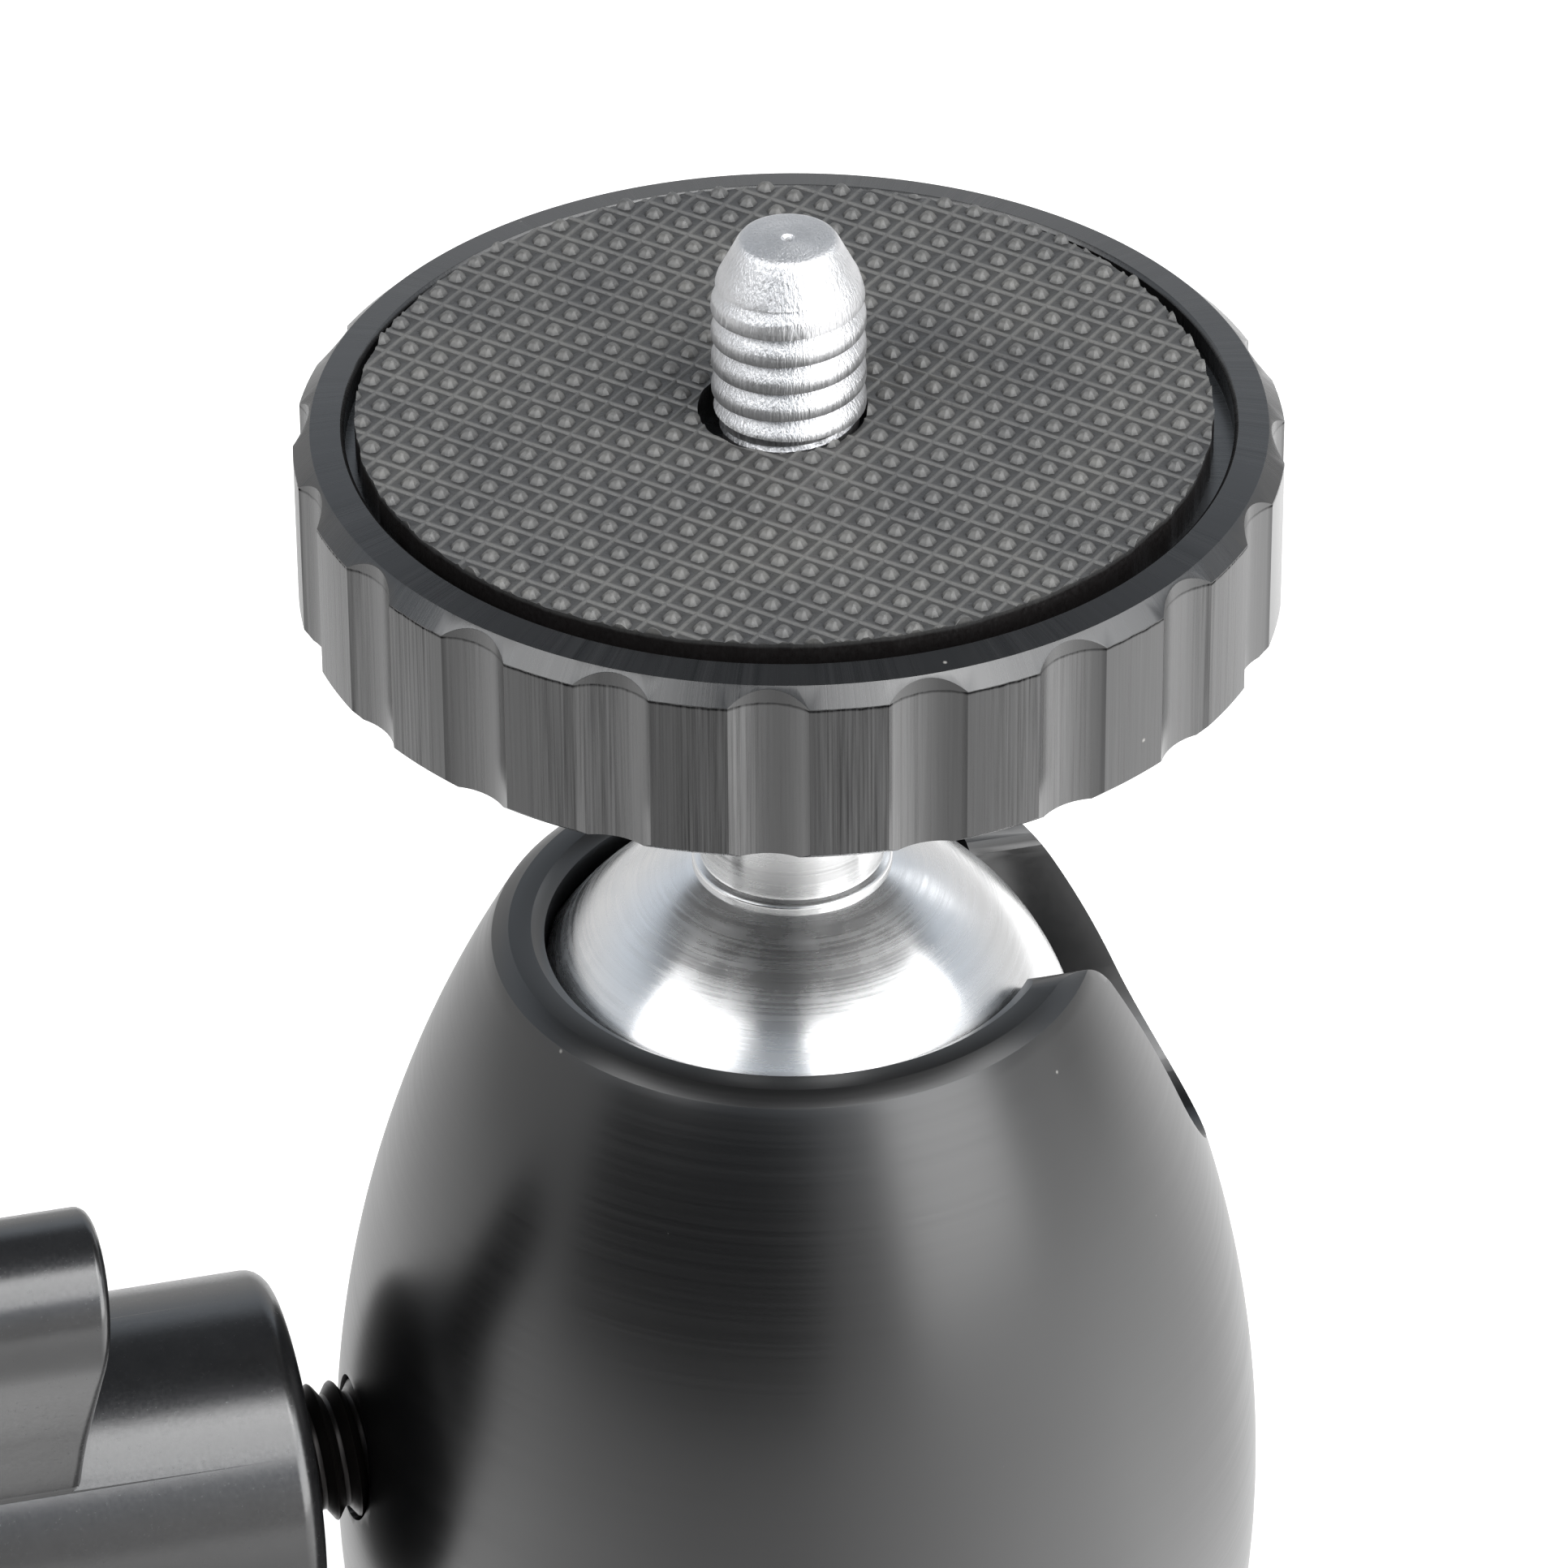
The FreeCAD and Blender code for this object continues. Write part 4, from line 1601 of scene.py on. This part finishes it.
class Housing(SubAssembly):
    """The egg-shaped body."""

    sizes = HousingSizes()

    def build(self) -> None:
        """Builds and dresses the housing."""
        self.stand_for(self._housing(), "housing", "black_anodised", self.finishes.body)

    def _side(self) -> Profile:
        """The side's arc, upright at the equator and ending at the rim.

        Returns:
            Its places from the foot upwards.
        """
        s = self.sizes
        inward = s.equator_radius - s.rim_edge[0]
        upward = s.rim_edge[1] - s.equator_height
        bend = (inward**2 + upward**2) / (2 * inward)
        centre = (s.equator_radius - bend, s.equator_height)
        low = math.degrees(math.asin((s.base_chamfer - s.equator_height) / bend))
        high = math.degrees(math.asin(upward / bend))
        return arc_places(bend, centre, low, high, 72)

    def _notch(self) -> bpy.types.Object:
        """The cutter of the drop notch, with its rounded bottom and flared mouth.

        Returns:
            The cutter.
        """
        s = self.sizes
        mouth = s.notch_half + s.notch_corner
        top = s.notch_top - s.ball_centre
        rise = top - s.notch_corner
        corners = arc_places(s.notch_half, (0, 0), 180, 360, 25)
        corners += arc_places(s.notch_corner, (mouth, rise), 180, 90, 13)
        corners += [(mouth, top + 2), (-mouth, top + 2)]
        corners += arc_places(s.notch_corner, (-mouth, rise), 90, 0, 13)
        outline = [Vector((0, across, s.ball_centre + high)) for across, high in corners[:-1]]
        return Bench.prism("notch", outline, Vector((s.equator_radius + 2, 0, 0)))

    def _housing(self) -> bpy.types.Object:
        """Turns the housing and cuts the notch and the holes.

        Returns:
            The housing.
        """
        s = self.sizes
        side = self._side()
        lip_deg = math.degrees(math.asin((s.lip[1] - s.ball_centre) / s.seat_radius))
        foot_deg = math.degrees(math.asin((s.seat_foot_height - s.ball_centre) / s.seat_radius))
        seat = arc_places(s.seat_radius, (0, s.ball_centre), lip_deg, foot_deg, 20)
        profile = [(s.plug_hole, 0.0), (side[0][0] - s.base_chamfer, 0.0)] + side
        profile += [s.rim_flat_outer, s.rim_flat_inner, s.rim_wall_top] + seat
        profile += [
            (s.bore_radius, s.seat_foot_height),
            (s.bore_radius, s.plug_top),
            (s.plug_hole, s.plug_top),
        ]
        body = Bench.turned("egg_housing", profile, steps=224)
        inside = Vector((0, 0, s.screw_height))
        outside = Vector((-s.equator_radius - 2, 0, s.screw_height))
        pocket = Vector((-s.bush_reach, 0, s.screw_height))
        pin = [Vector((0, across, s.pin_height)) for across in s.pin_reach]
        tools = [
            self._notch(),
            Bench.rod("hole", s.screw_hole, outside, inside),
            Bench.rod("pocket", s.bush_hole, pocket, inside),
            Bench.rod("pin", s.pin_hole, pin[0], pin[1]),
        ]
        for number in range(3):
            turn = math.radians(90 + 120 * number)
            out = Vector((math.cos(turn), math.sin(turn), 0))
            lift = Vector((0, 0, s.grub_height))
            tools.append(Bench.rod("grub", s.grub_hole, out * s.grub_inner + lift, out * 22 + lift))
        Bench.combine(body, tools, Cut.TAKE_AWAY)
        return Bench.soften(body, 0.05, 2, 24)


@dataclass
class LockSizes:
    """Sizes of the handle and its screw, with distances along the screw towards -X."""

    height: float = 24.3
    hub_radius: float = 8.26
    hub_start: float = 22.36
    hub_end: float = 39.51
    hub_edge: float = 1.0
    wing_start: float = 33.2
    wing_thickness: float = 7.91
    wing_lean: float = 5.7
    wing_half: float = 20.15
    wing_tip: float = 3.75
    wing_waist: float = 3.5
    wing_flare: float = 0.35
    wing_flare_start: float = 10.8
    wing_angle: float = 67.5
    wing_edge: float = 0.5
    screw_radius: float = 3.0
    screw_root: float = 2.45
    screw_pitch: float = 1.0
    screw_start: float = -2.0
    screw_end: float = 33.36
    groove_start: float = 10.9
    groove_end: float = 11.6
    groove_radius: float = 2.6
    nose_hole: float = 1.25
    nose_depth: float = 3.05
    pin_radius: float = 1.02
    pin_place: float = 26.56


class Lock(SubAssembly):
    """The T-handle, its screw and what the screw drives."""

    sizes = LockSizes()

    def build(self) -> None:
        """Builds and dresses the lock."""
        self.stand_for(self._handle(), "lock_knob", "black_paint", self.finishes.paint)
        self.stand_for(self._screw(), "lock_screw", "blackened_steel", self.finishes.black_steel)
        clothes = {
            self.finishes.steel: ("knob_pin", "thrust_tip", "block_guide_pin", "spring_shim"),
            self.finishes.spring: ("captive_ring", "disc_springs"),
            self.finishes.brass: ("screw_bush",),
            self.finishes.block: ("pressure_block",),
        }
        for material, nodes in clothes.items():
            for node in nodes:
                self.dress(node, material)

    def _pin_bore(self) -> bpy.types.Object:
        """The cutter of the cross pin's hole.

        Returns:
            The cutter.
        """
        s = self.sizes
        turn = math.radians(90 - s.wing_angle)
        out = Vector((0, math.cos(turn), math.sin(turn)))
        middle = Vector((-s.pin_place, 0, s.height))
        return Bench.rod("pin_bore", s.pin_radius, middle - out * 4.25, middle + out * 7.8, 40)

    def _wing(self) -> bpy.types.Object:
        """The wing: a thick plate with round tips and a waist, leaning inwards at its tips.

        Returns:
            The wing, turned to its place.
        """
        s = self.sizes
        reach = s.wing_half - s.wing_tip
        depth = s.wing_tip - s.wing_waist
        bend = (reach**2 + depth**2) / (2 * depth)
        sweep = math.degrees(math.asin(reach / bend))
        corners: list[tuple[float, float]] = []
        for side in (1, -1):
            corners += [
                (side * along, side * across)
                for along, across in arc_places(s.wing_tip, (reach, 0), 90, -90, 17)
            ]
            for number in range(1, 26):
                turn = math.radians(sweep - 2 * sweep * number / 26)
                along = bend * math.sin(turn)
                near = min(max(s.wing_flare_start - abs(along), 0.0) / 3, 1.2)
                width = s.wing_waist + bend * (1 - math.cos(turn)) + s.wing_flare * near**2
                corners.append((side * along, -side * width))
        tip = s.wing_half + 1
        rise = tip * math.tan(math.radians(s.wing_lean))
        outline = [Vector((rise - s.wing_start, along, across)) for along, across in corners]
        wing = Bench.prism("wing", outline, Vector((-s.wing_thickness - rise, 0, 0)))
        lean = [(0, 0), (rise, tip), (rise + 1, tip), (rise + 1, -tip), (rise, -tip)]
        wedge = [Vector((out - s.wing_start, along, -s.hub_radius)) for out, along in lean]
        wedge_push = Vector((0, 0, 2 * s.hub_radius))
        Bench.combine(wing, [Bench.prism("lean", wedge, wedge_push)], Cut.TAKE_AWAY)
        Bench.lay(wing, s.height, 180 - s.wing_angle, "X")
        return Bench.soften(wing, s.wing_edge, 5, 60)

    def _handle(self) -> bpy.types.Object:
        """Turns the hub, joins the wing to it and drills it.

        Returns:
            The handle.
        """
        s = self.sizes
        edge = s.hub_edge
        inner = arc_places(edge, (s.hub_radius - edge, s.hub_start + edge), -90, 0, 7)
        outer = arc_places(edge, (s.hub_radius - edge, s.hub_end - edge), 0, 90, 7)
        bore = s.screw_radius + 0.02
        depth = s.screw_end + 0.05
        hub = Bench.turned(
            "handle",
            [(0.0, depth), (bore, depth), (bore, s.hub_start)]
            + inner
            + outer
            + [(s.hub_radius - edge - 0.5, s.hub_end), (0.0, s.hub_end)],
            steps=160,
        )
        Bench.lay(hub, s.height, -90, "Y")
        Bench.combine(hub, [self._wing()], Cut.ADD)
        Bench.combine(hub, [self._pin_bore()], Cut.TAKE_AWAY)
        hub.name = "t_handle"
        with Bench.editing(hub, "FACE"):
            bpy.ops.mesh.select_all(action="SELECT")
            bpy.ops.mesh.dissolve_limited(angle_limit=math.radians(0.05))
        return Bench.soften(hub, 0.0, degrees=28)

    def _screw(self) -> bpy.types.Object:
        """Winds the lock screw and cuts its groove, nose and pin hole.

        Returns:
            The screw.
        """
        s = self.sizes
        screw = Bench.threaded(
            "lock_thread",
            s.screw_radius,
            s.screw_root,
            s.screw_pitch,
            s.screw_start,
            s.screw_end,
        )
        outer = s.screw_radius + 1
        ring = [(s.groove_radius, s.groove_start), (outer, s.groove_start)]
        ring += [(outer, s.groove_end), (s.groove_radius, s.groove_end)]
        groove = Bench.turned("groove", ring, steps=96)
        low = Vector((0, 0, s.screw_start - 1))
        high = Vector((0, 0, s.screw_start + s.nose_depth))
        nose = Bench.rod("nose", s.nose_hole, low, high, 48)
        Bench.combine(screw, [groove, nose], Cut.TAKE_AWAY)
        Bench.lay(screw, s.height, -90, "Y")
        Bench.combine(screw, [self._pin_bore()], Cut.TAKE_AWAY)
        screw.name = "threaded_lock_screw"
        return Bench.soften(screw, 0.0, degrees=32)


@dataclass
class BaseSizes:
    """Sizes of the tripod bush in the plug."""

    bush_radius: float = 4.74
    bush_length: float = 9.0
    hole_radius: float = 2.6
    thread_crest: float = 3.18
    thread_root: float = 2.62
    pitch: float = 1.27
    chamfer: float = 0.5
    slot_width: float = 1.2
    slot_depth: float = 1.1


class Base(SubAssembly):
    """The plug, the tripod bush and the grub screws."""

    sizes = BaseSizes()

    def build(self) -> None:
        """Builds and dresses the base."""
        self.stand_for(self._bush(), "tripod_bush", "steel", self.finishes.steel)
        self.dress("base_plug", self.finishes.plug)
        self.dress("base_grub_screws", self.finishes.black_steel)

    def _bush(self) -> bpy.types.Object:
        """Turns the bush, taps it and cuts the driver slot across its mouth.

        Returns:
            The bush.
        """
        s = self.sizes
        bush = Bench.turned(
            "tapped_bush",
            [
                (s.hole_radius, s.chamfer),
                (s.hole_radius + s.chamfer, 0.0),
                (s.bush_radius - s.chamfer, 0.0),
                (s.bush_radius, s.chamfer),
                (s.bush_radius, s.bush_length),
                (s.hole_radius, s.bush_length),
            ],
            steps=112,
        )
        tap = Bench.threaded("tap", s.thread_crest, s.thread_root, s.pitch, -1, s.bush_length + 1)
        half = s.slot_width / 2
        places = ((-half, -1), (half, -1), (half, s.slot_depth), (-half, s.slot_depth))
        corners = [Vector((across, -s.bush_radius - 1, high)) for across, high in places]
        slot = Bench.prism("slot", corners, Vector((0, 2 * s.bush_radius + 2, 0)))
        Bench.combine(bush, [tap, slot], Cut.TAKE_AWAY)
        return Bench.soften(bush, 0.0, degrees=32)


@dataclass
class StudioPlan:
    """Where the camera stands, in millimetres and degrees, and how bright the lamps are."""

    camera_place: tuple[float, float, float] = (-81.16, -324.19, 284.0)
    heading: float = 14.0
    pitch_down: float = 34.37
    roll: float = -0.42
    lens: float = 223.4
    floor_size: float = 4000.0
    world_level: float = 0.45
    wall_level: float = 0.8
    ceiling_levels: tuple[float, float] = (0.38, 0.11)
    # Azimuth, then how bright mirrors see the near floor and the far one.
    glow: tuple[tuple[float, float, float], ...] = (
        (-180, 0.55, 0.6),
        (-150, 0.6, 0.6),
        (-110, 1.15, 0.78),
        (-70, 1.25, 0.86),
        (-45, 0.82, 0.55),
        (-22, 0.42, 0.36),
        (0, 0.45, 0.45),
        (25, 1.1, 0.9),
        (50, 1.8, 1.35),
        (80, 2.1, 1.8),
        (112, 1.15, 1.3),
        (150, 1.0, 1.5),
        (180, 0.55, 0.6),
    )
    # Name, azimuth, elevation, width and height, and radiance of each soft box.
    lamps: tuple[tuple[str, float, float, tuple[float, float], float], ...] = (
        ("right_soft_box", 50, 17, (430, 380), 3.9),
        ("far_right_soft_box", 84, 0, (300, 220), 0.8),
        ("front_right_soft_box", 31, 54, (320, 420), 4.0),
        ("high_right_soft_box", 76, 52, (440, 430), 3.5),
        ("left_soft_box", -61, 46, (460, 380), 3.3),
        ("back_right_soft_box", 142, 28, (120, 120), 1.0),
    )
    lamp_distance: float = 620.0
    board_distance: float = 330.0
    aim_height: float = 40.0


class Studio:
    """The floor, the lamps, the dark boards and the camera."""

    def __init__(self, plan: StudioPlan) -> None:
        """Keeps the plan.

        Args:
            plan: the studio's plan.
        """
        self.plan = plan

    def build(self) -> None:
        """Sets everything up."""
        scene = bpy.context.scene
        scene.view_settings.view_transform = "Standard"
        self._world()
        self._floor()
        for lamp in self.plan.lamps:
            self._lamp(*lamp)
        self._board("front_board", -28, 4, (480, 300))
        self._camera()

    def _background(self, sheet: NodeSheet) -> bpy.types.NodeSocket:
        """Which rays see the white background: the camera's, and those of metal and glass.

        Args:
            sheet: the sheet that asks.

        Returns:
            One for such a ray.
        """
        path = sheet.add("LightPath")
        seen = sheet.math("MAXIMUM", path.outputs["Is Camera Ray"], path.outputs["Is Glossy Ray"])
        return sheet.math("MAXIMUM", seen, path.outputs["Is Transmission Ray"])

    def _world(self) -> None:
        """Makes the world white to the camera and to metal, and plain to the rest."""
        world = bpy.data.worlds.new("studio world")
        bpy.context.scene.world = world
        world.use_nodes = True
        sheet = NodeSheet(world.node_tree)
        seen = self._background(sheet)
        path = sheet.add("LightPath")
        _, away, up = sheet.split(sheet.add("TexCoord").outputs["Generated"])
        front, back = self.plan.ceiling_levels
        ceiling = sheet.between(away, -0.35, 0.1, front, back)
        high = sheet.between(up, 0.56, 0.72)
        wall = self.plan.wall_level
        shade = sheet.math("MULTIPLY_ADD", high, sheet.math("SUBTRACT", ceiling, wall), wall)
        mirror = sheet.math("MAXIMUM", shade, path.outputs["Is Camera Ray"])
        plain = sheet.math("MULTIPLY", sheet.math("SUBTRACT", 1.0, seen), self.plan.world_level)
        light = sheet.add("Background")
        tint = sheet.math("MULTIPLY", sheet.between(up, 0.2, 0.5), path.outputs["Is Glossy Ray"])
        sheet.link(sheet.blend(tint, (1, 1, 1, 1), (0.87, 0.95, 1.05, 1)), light.inputs["Color"])
        sheet.link(sheet.math("MULTIPLY_ADD", seen, mirror, plain), light.inputs["Strength"])
        sheet.end(light.outputs[0], "OutputWorld")

    def _floor(self) -> None:
        """Lays the pale floor, which keeps the head's shadow."""
        Bench.clear()
        bpy.ops.mesh.primitive_plane_add(size=self.plan.floor_size * MM, location=(0, 0, 0))
        floor = bpy.context.active_object
        floor.name = "studio_floor"
        with Bench.editing(floor, "FACE"):
            bpy.ops.mesh.select_all(action="SELECT")
            bpy.ops.mesh.subdivide(number_cuts=8)
        material, sheet = NodeSheet.for_material("white floor")
        shader = sheet.add("BsdfPrincipled")
        path = sheet.add("LightPath")
        mirrored = path.outputs["Is Glossy Ray"]
        lift = sheet.math("MULTIPLY", path.outputs["Is Camera Ray"], 0.5)
        gloss = sheet.math("MULTIPLY", mirrored, self._glow(sheet))
        values = {
            "Base Color": sheet.blend(mirrored, (0.82, 0.82, 0.82, 1), (0.41, 0.41, 0.41, 1)),
            "Roughness": 0.9,
            "Specular IOR Level": 0.1,
            "Emission Color": (1, 1, 1, 1),
            "Emission Strength": sheet.math("ADD", lift, gloss),
        }
        sheet.wire(shader, values)
        sheet.end(shader.outputs[0])
        floor.data.materials.append(material)

    def _glow(self, sheet: NodeSheet) -> bpy.types.NodeSocket:
        """How bright mirrors see the floor, which depends on the side and on the distance.

        Args:
            sheet: the floor's sheet.

        Returns:
            The level.
        """
        place = sheet.add("TexCoord").outputs["Object"]
        wide, deep, _ = sheet.split(place)
        turn = sheet.math("ARCTAN2", wide, sheet.math("MULTIPLY", deep, -1.0))
        share = sheet.math("MULTIPLY_ADD", turn, 1 / math.tau, 0.5 + self.plan.heading / 360)
        top = max(max(row[1:]) for row in self.plan.glow)
        ramps = []
        for column in (1, 2):
            ramp = sheet.add("ValToRGB")
            sheet.link(sheet.math("FRACT", share), ramp.inputs[0])
            stops = ramp.color_ramp.elements
            for number, row in enumerate(self.plan.glow):
                position = row[0] / 360 + 0.5
                stop = stops[number] if number < 2 else stops.new(position)
                stop.position = position
                stop.color = (row[column] / top,) * 3 + (1,)
            ramps.append(ramp.outputs[0])
        reach = sheet.length(place)
        far = sheet.between(reach, 0.095, 0.12)
        fade = sheet.between(reach, 0.2, 0.7, top, top * 0.35)
        return sheet.math("MULTIPLY", sheet.blend(far, ramps[0], ramps[1]), fade)

    def _toward(self, azimuth: float, elevation: float, distance: float) -> Vector:
        """A place seen from the head, with azimuth zero towards the camera.

        Args:
            azimuth: degrees to the camera's right.
            elevation: degrees above the floor.
            distance: millimetres from the ball's centre.

        Returns:
            The place in metres.
        """
        turn = math.radians(azimuth - self.plan.heading)
        rise = math.radians(elevation)
        flat = math.cos(rise)
        way = Vector((math.sin(turn) * flat, -math.cos(turn) * flat, math.sin(rise)))
        return (way * distance + Vector((0, 0, self.plan.aim_height))) * MM

    def _aimed(self, place: Vector, front: str) -> Euler:
        """How something at a place is turned to face the head.

        Args:
            place: the place in metres.
            front: the axis that its front looks along.

        Returns:
            The turn.
        """
        aim = Vector((0, 0, self.plan.aim_height * MM)) - place
        return aim.to_track_quat(front, "Y").to_euler()

    def _lamp(
        self, name: str, azimuth: float, elevation: float, size: tuple[float, float], level: float
    ) -> None:
        """Hangs one soft box.

        Args:
            name: its name.
            azimuth: degrees to the camera's right.
            elevation: degrees above the floor.
            size: its width and height in millimetres.
            level: its radiance.
        """
        data = bpy.data.lights.new(name, "AREA")
        data.shape = "RECTANGLE"
        data.size = size[0] * MM
        data.size_y = size[1] * MM
        data.energy = level * math.pi * data.size * data.size_y
        lamp = bpy.data.objects.new(name, data)
        bpy.context.scene.collection.objects.link(lamp)
        lamp.location = self._toward(azimuth, elevation, self.plan.lamp_distance)
        lamp.rotation_euler = self._aimed(lamp.location, "-Z")

    def _board(
        self, name: str, azimuth: float, elevation: float, size: tuple[float, float]
    ) -> None:
        """Stands a dark board, which only mirrors see.

        Args:
            name: its name.
            azimuth: degrees to the camera's right.
            elevation: degrees above the floor.
            size: its width and height in millimetres.
        """
        Bench.clear()
        place = self._toward(azimuth, elevation, self.plan.board_distance)
        bpy.ops.mesh.primitive_plane_add(size=1, location=place, rotation=self._aimed(place, "Z"))
        board = bpy.context.active_object
        board.name = name
        board.scale = (size[0] * MM, size[1] * MM, 1)
        for kind in ("camera", "diffuse", "shadow", "transmission"):
            setattr(board, "visible_" + kind, False)
        material, sheet = NodeSheet.for_material(name)
        shader = sheet.add("BsdfDiffuse")
        shader.inputs[0].default_value = (0.01, 0.01, 0.01, 1)
        sheet.end(shader.outputs[0])
        board.data.materials.append(material)

    def _camera(self) -> None:
        """Stands the camera at the photograph's angle."""
        plan = self.plan
        turn = math.radians(plan.heading)
        away = Vector((math.sin(turn), math.cos(turn), 0))
        right = Vector((math.cos(turn), -math.sin(turn), 0))
        down = math.radians(plan.pitch_down)
        forward = away * math.cos(down) - Vector((0, 0, math.sin(down)))
        up = away * math.sin(down) + Vector((0, 0, math.cos(down)))
        roll = math.radians(plan.roll)
        across = right * math.cos(roll) + up * math.sin(roll)
        upward = up * math.cos(roll) - right * math.sin(roll)
        data = bpy.data.cameras.new("photo_camera")
        data.lens = plan.lens
        data.sensor_width = 36
        data.clip_start = 0.01
        data.clip_end = 20
        camera = bpy.data.objects.new("photo_camera", data)
        bpy.context.scene.collection.objects.link(camera)
        turned = Matrix((across, upward, -forward)).transposed().to_4x4()
        camera.matrix_world = Matrix.Translation(Vector(plan.camera_place) * MM) @ turned
        bpy.context.scene.camera = camera


def clear_defaults() -> None:
    """Removes what an empty Blender file starts with."""
    for name in ("Cube", "Light", "Camera"):
        found = bpy.data.objects.get(name)
        if found is not None:
            bpy.data.objects.remove(found)


def main() -> None:
    """Builds the head and the studio in order."""
    logging.basicConfig(level=logging.INFO, format="%(message)s")
    clear_defaults()
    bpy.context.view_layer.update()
    finishes = Finishes()
    for kind in (Platform, Ball, Housing, Lock, Base):
        kind(finishes).build()
        LOG.info("%s done", kind.__name__)
    Studio(StudioPlan()).build()
    Bench.clear()


if __name__ == "__main__":
    main()
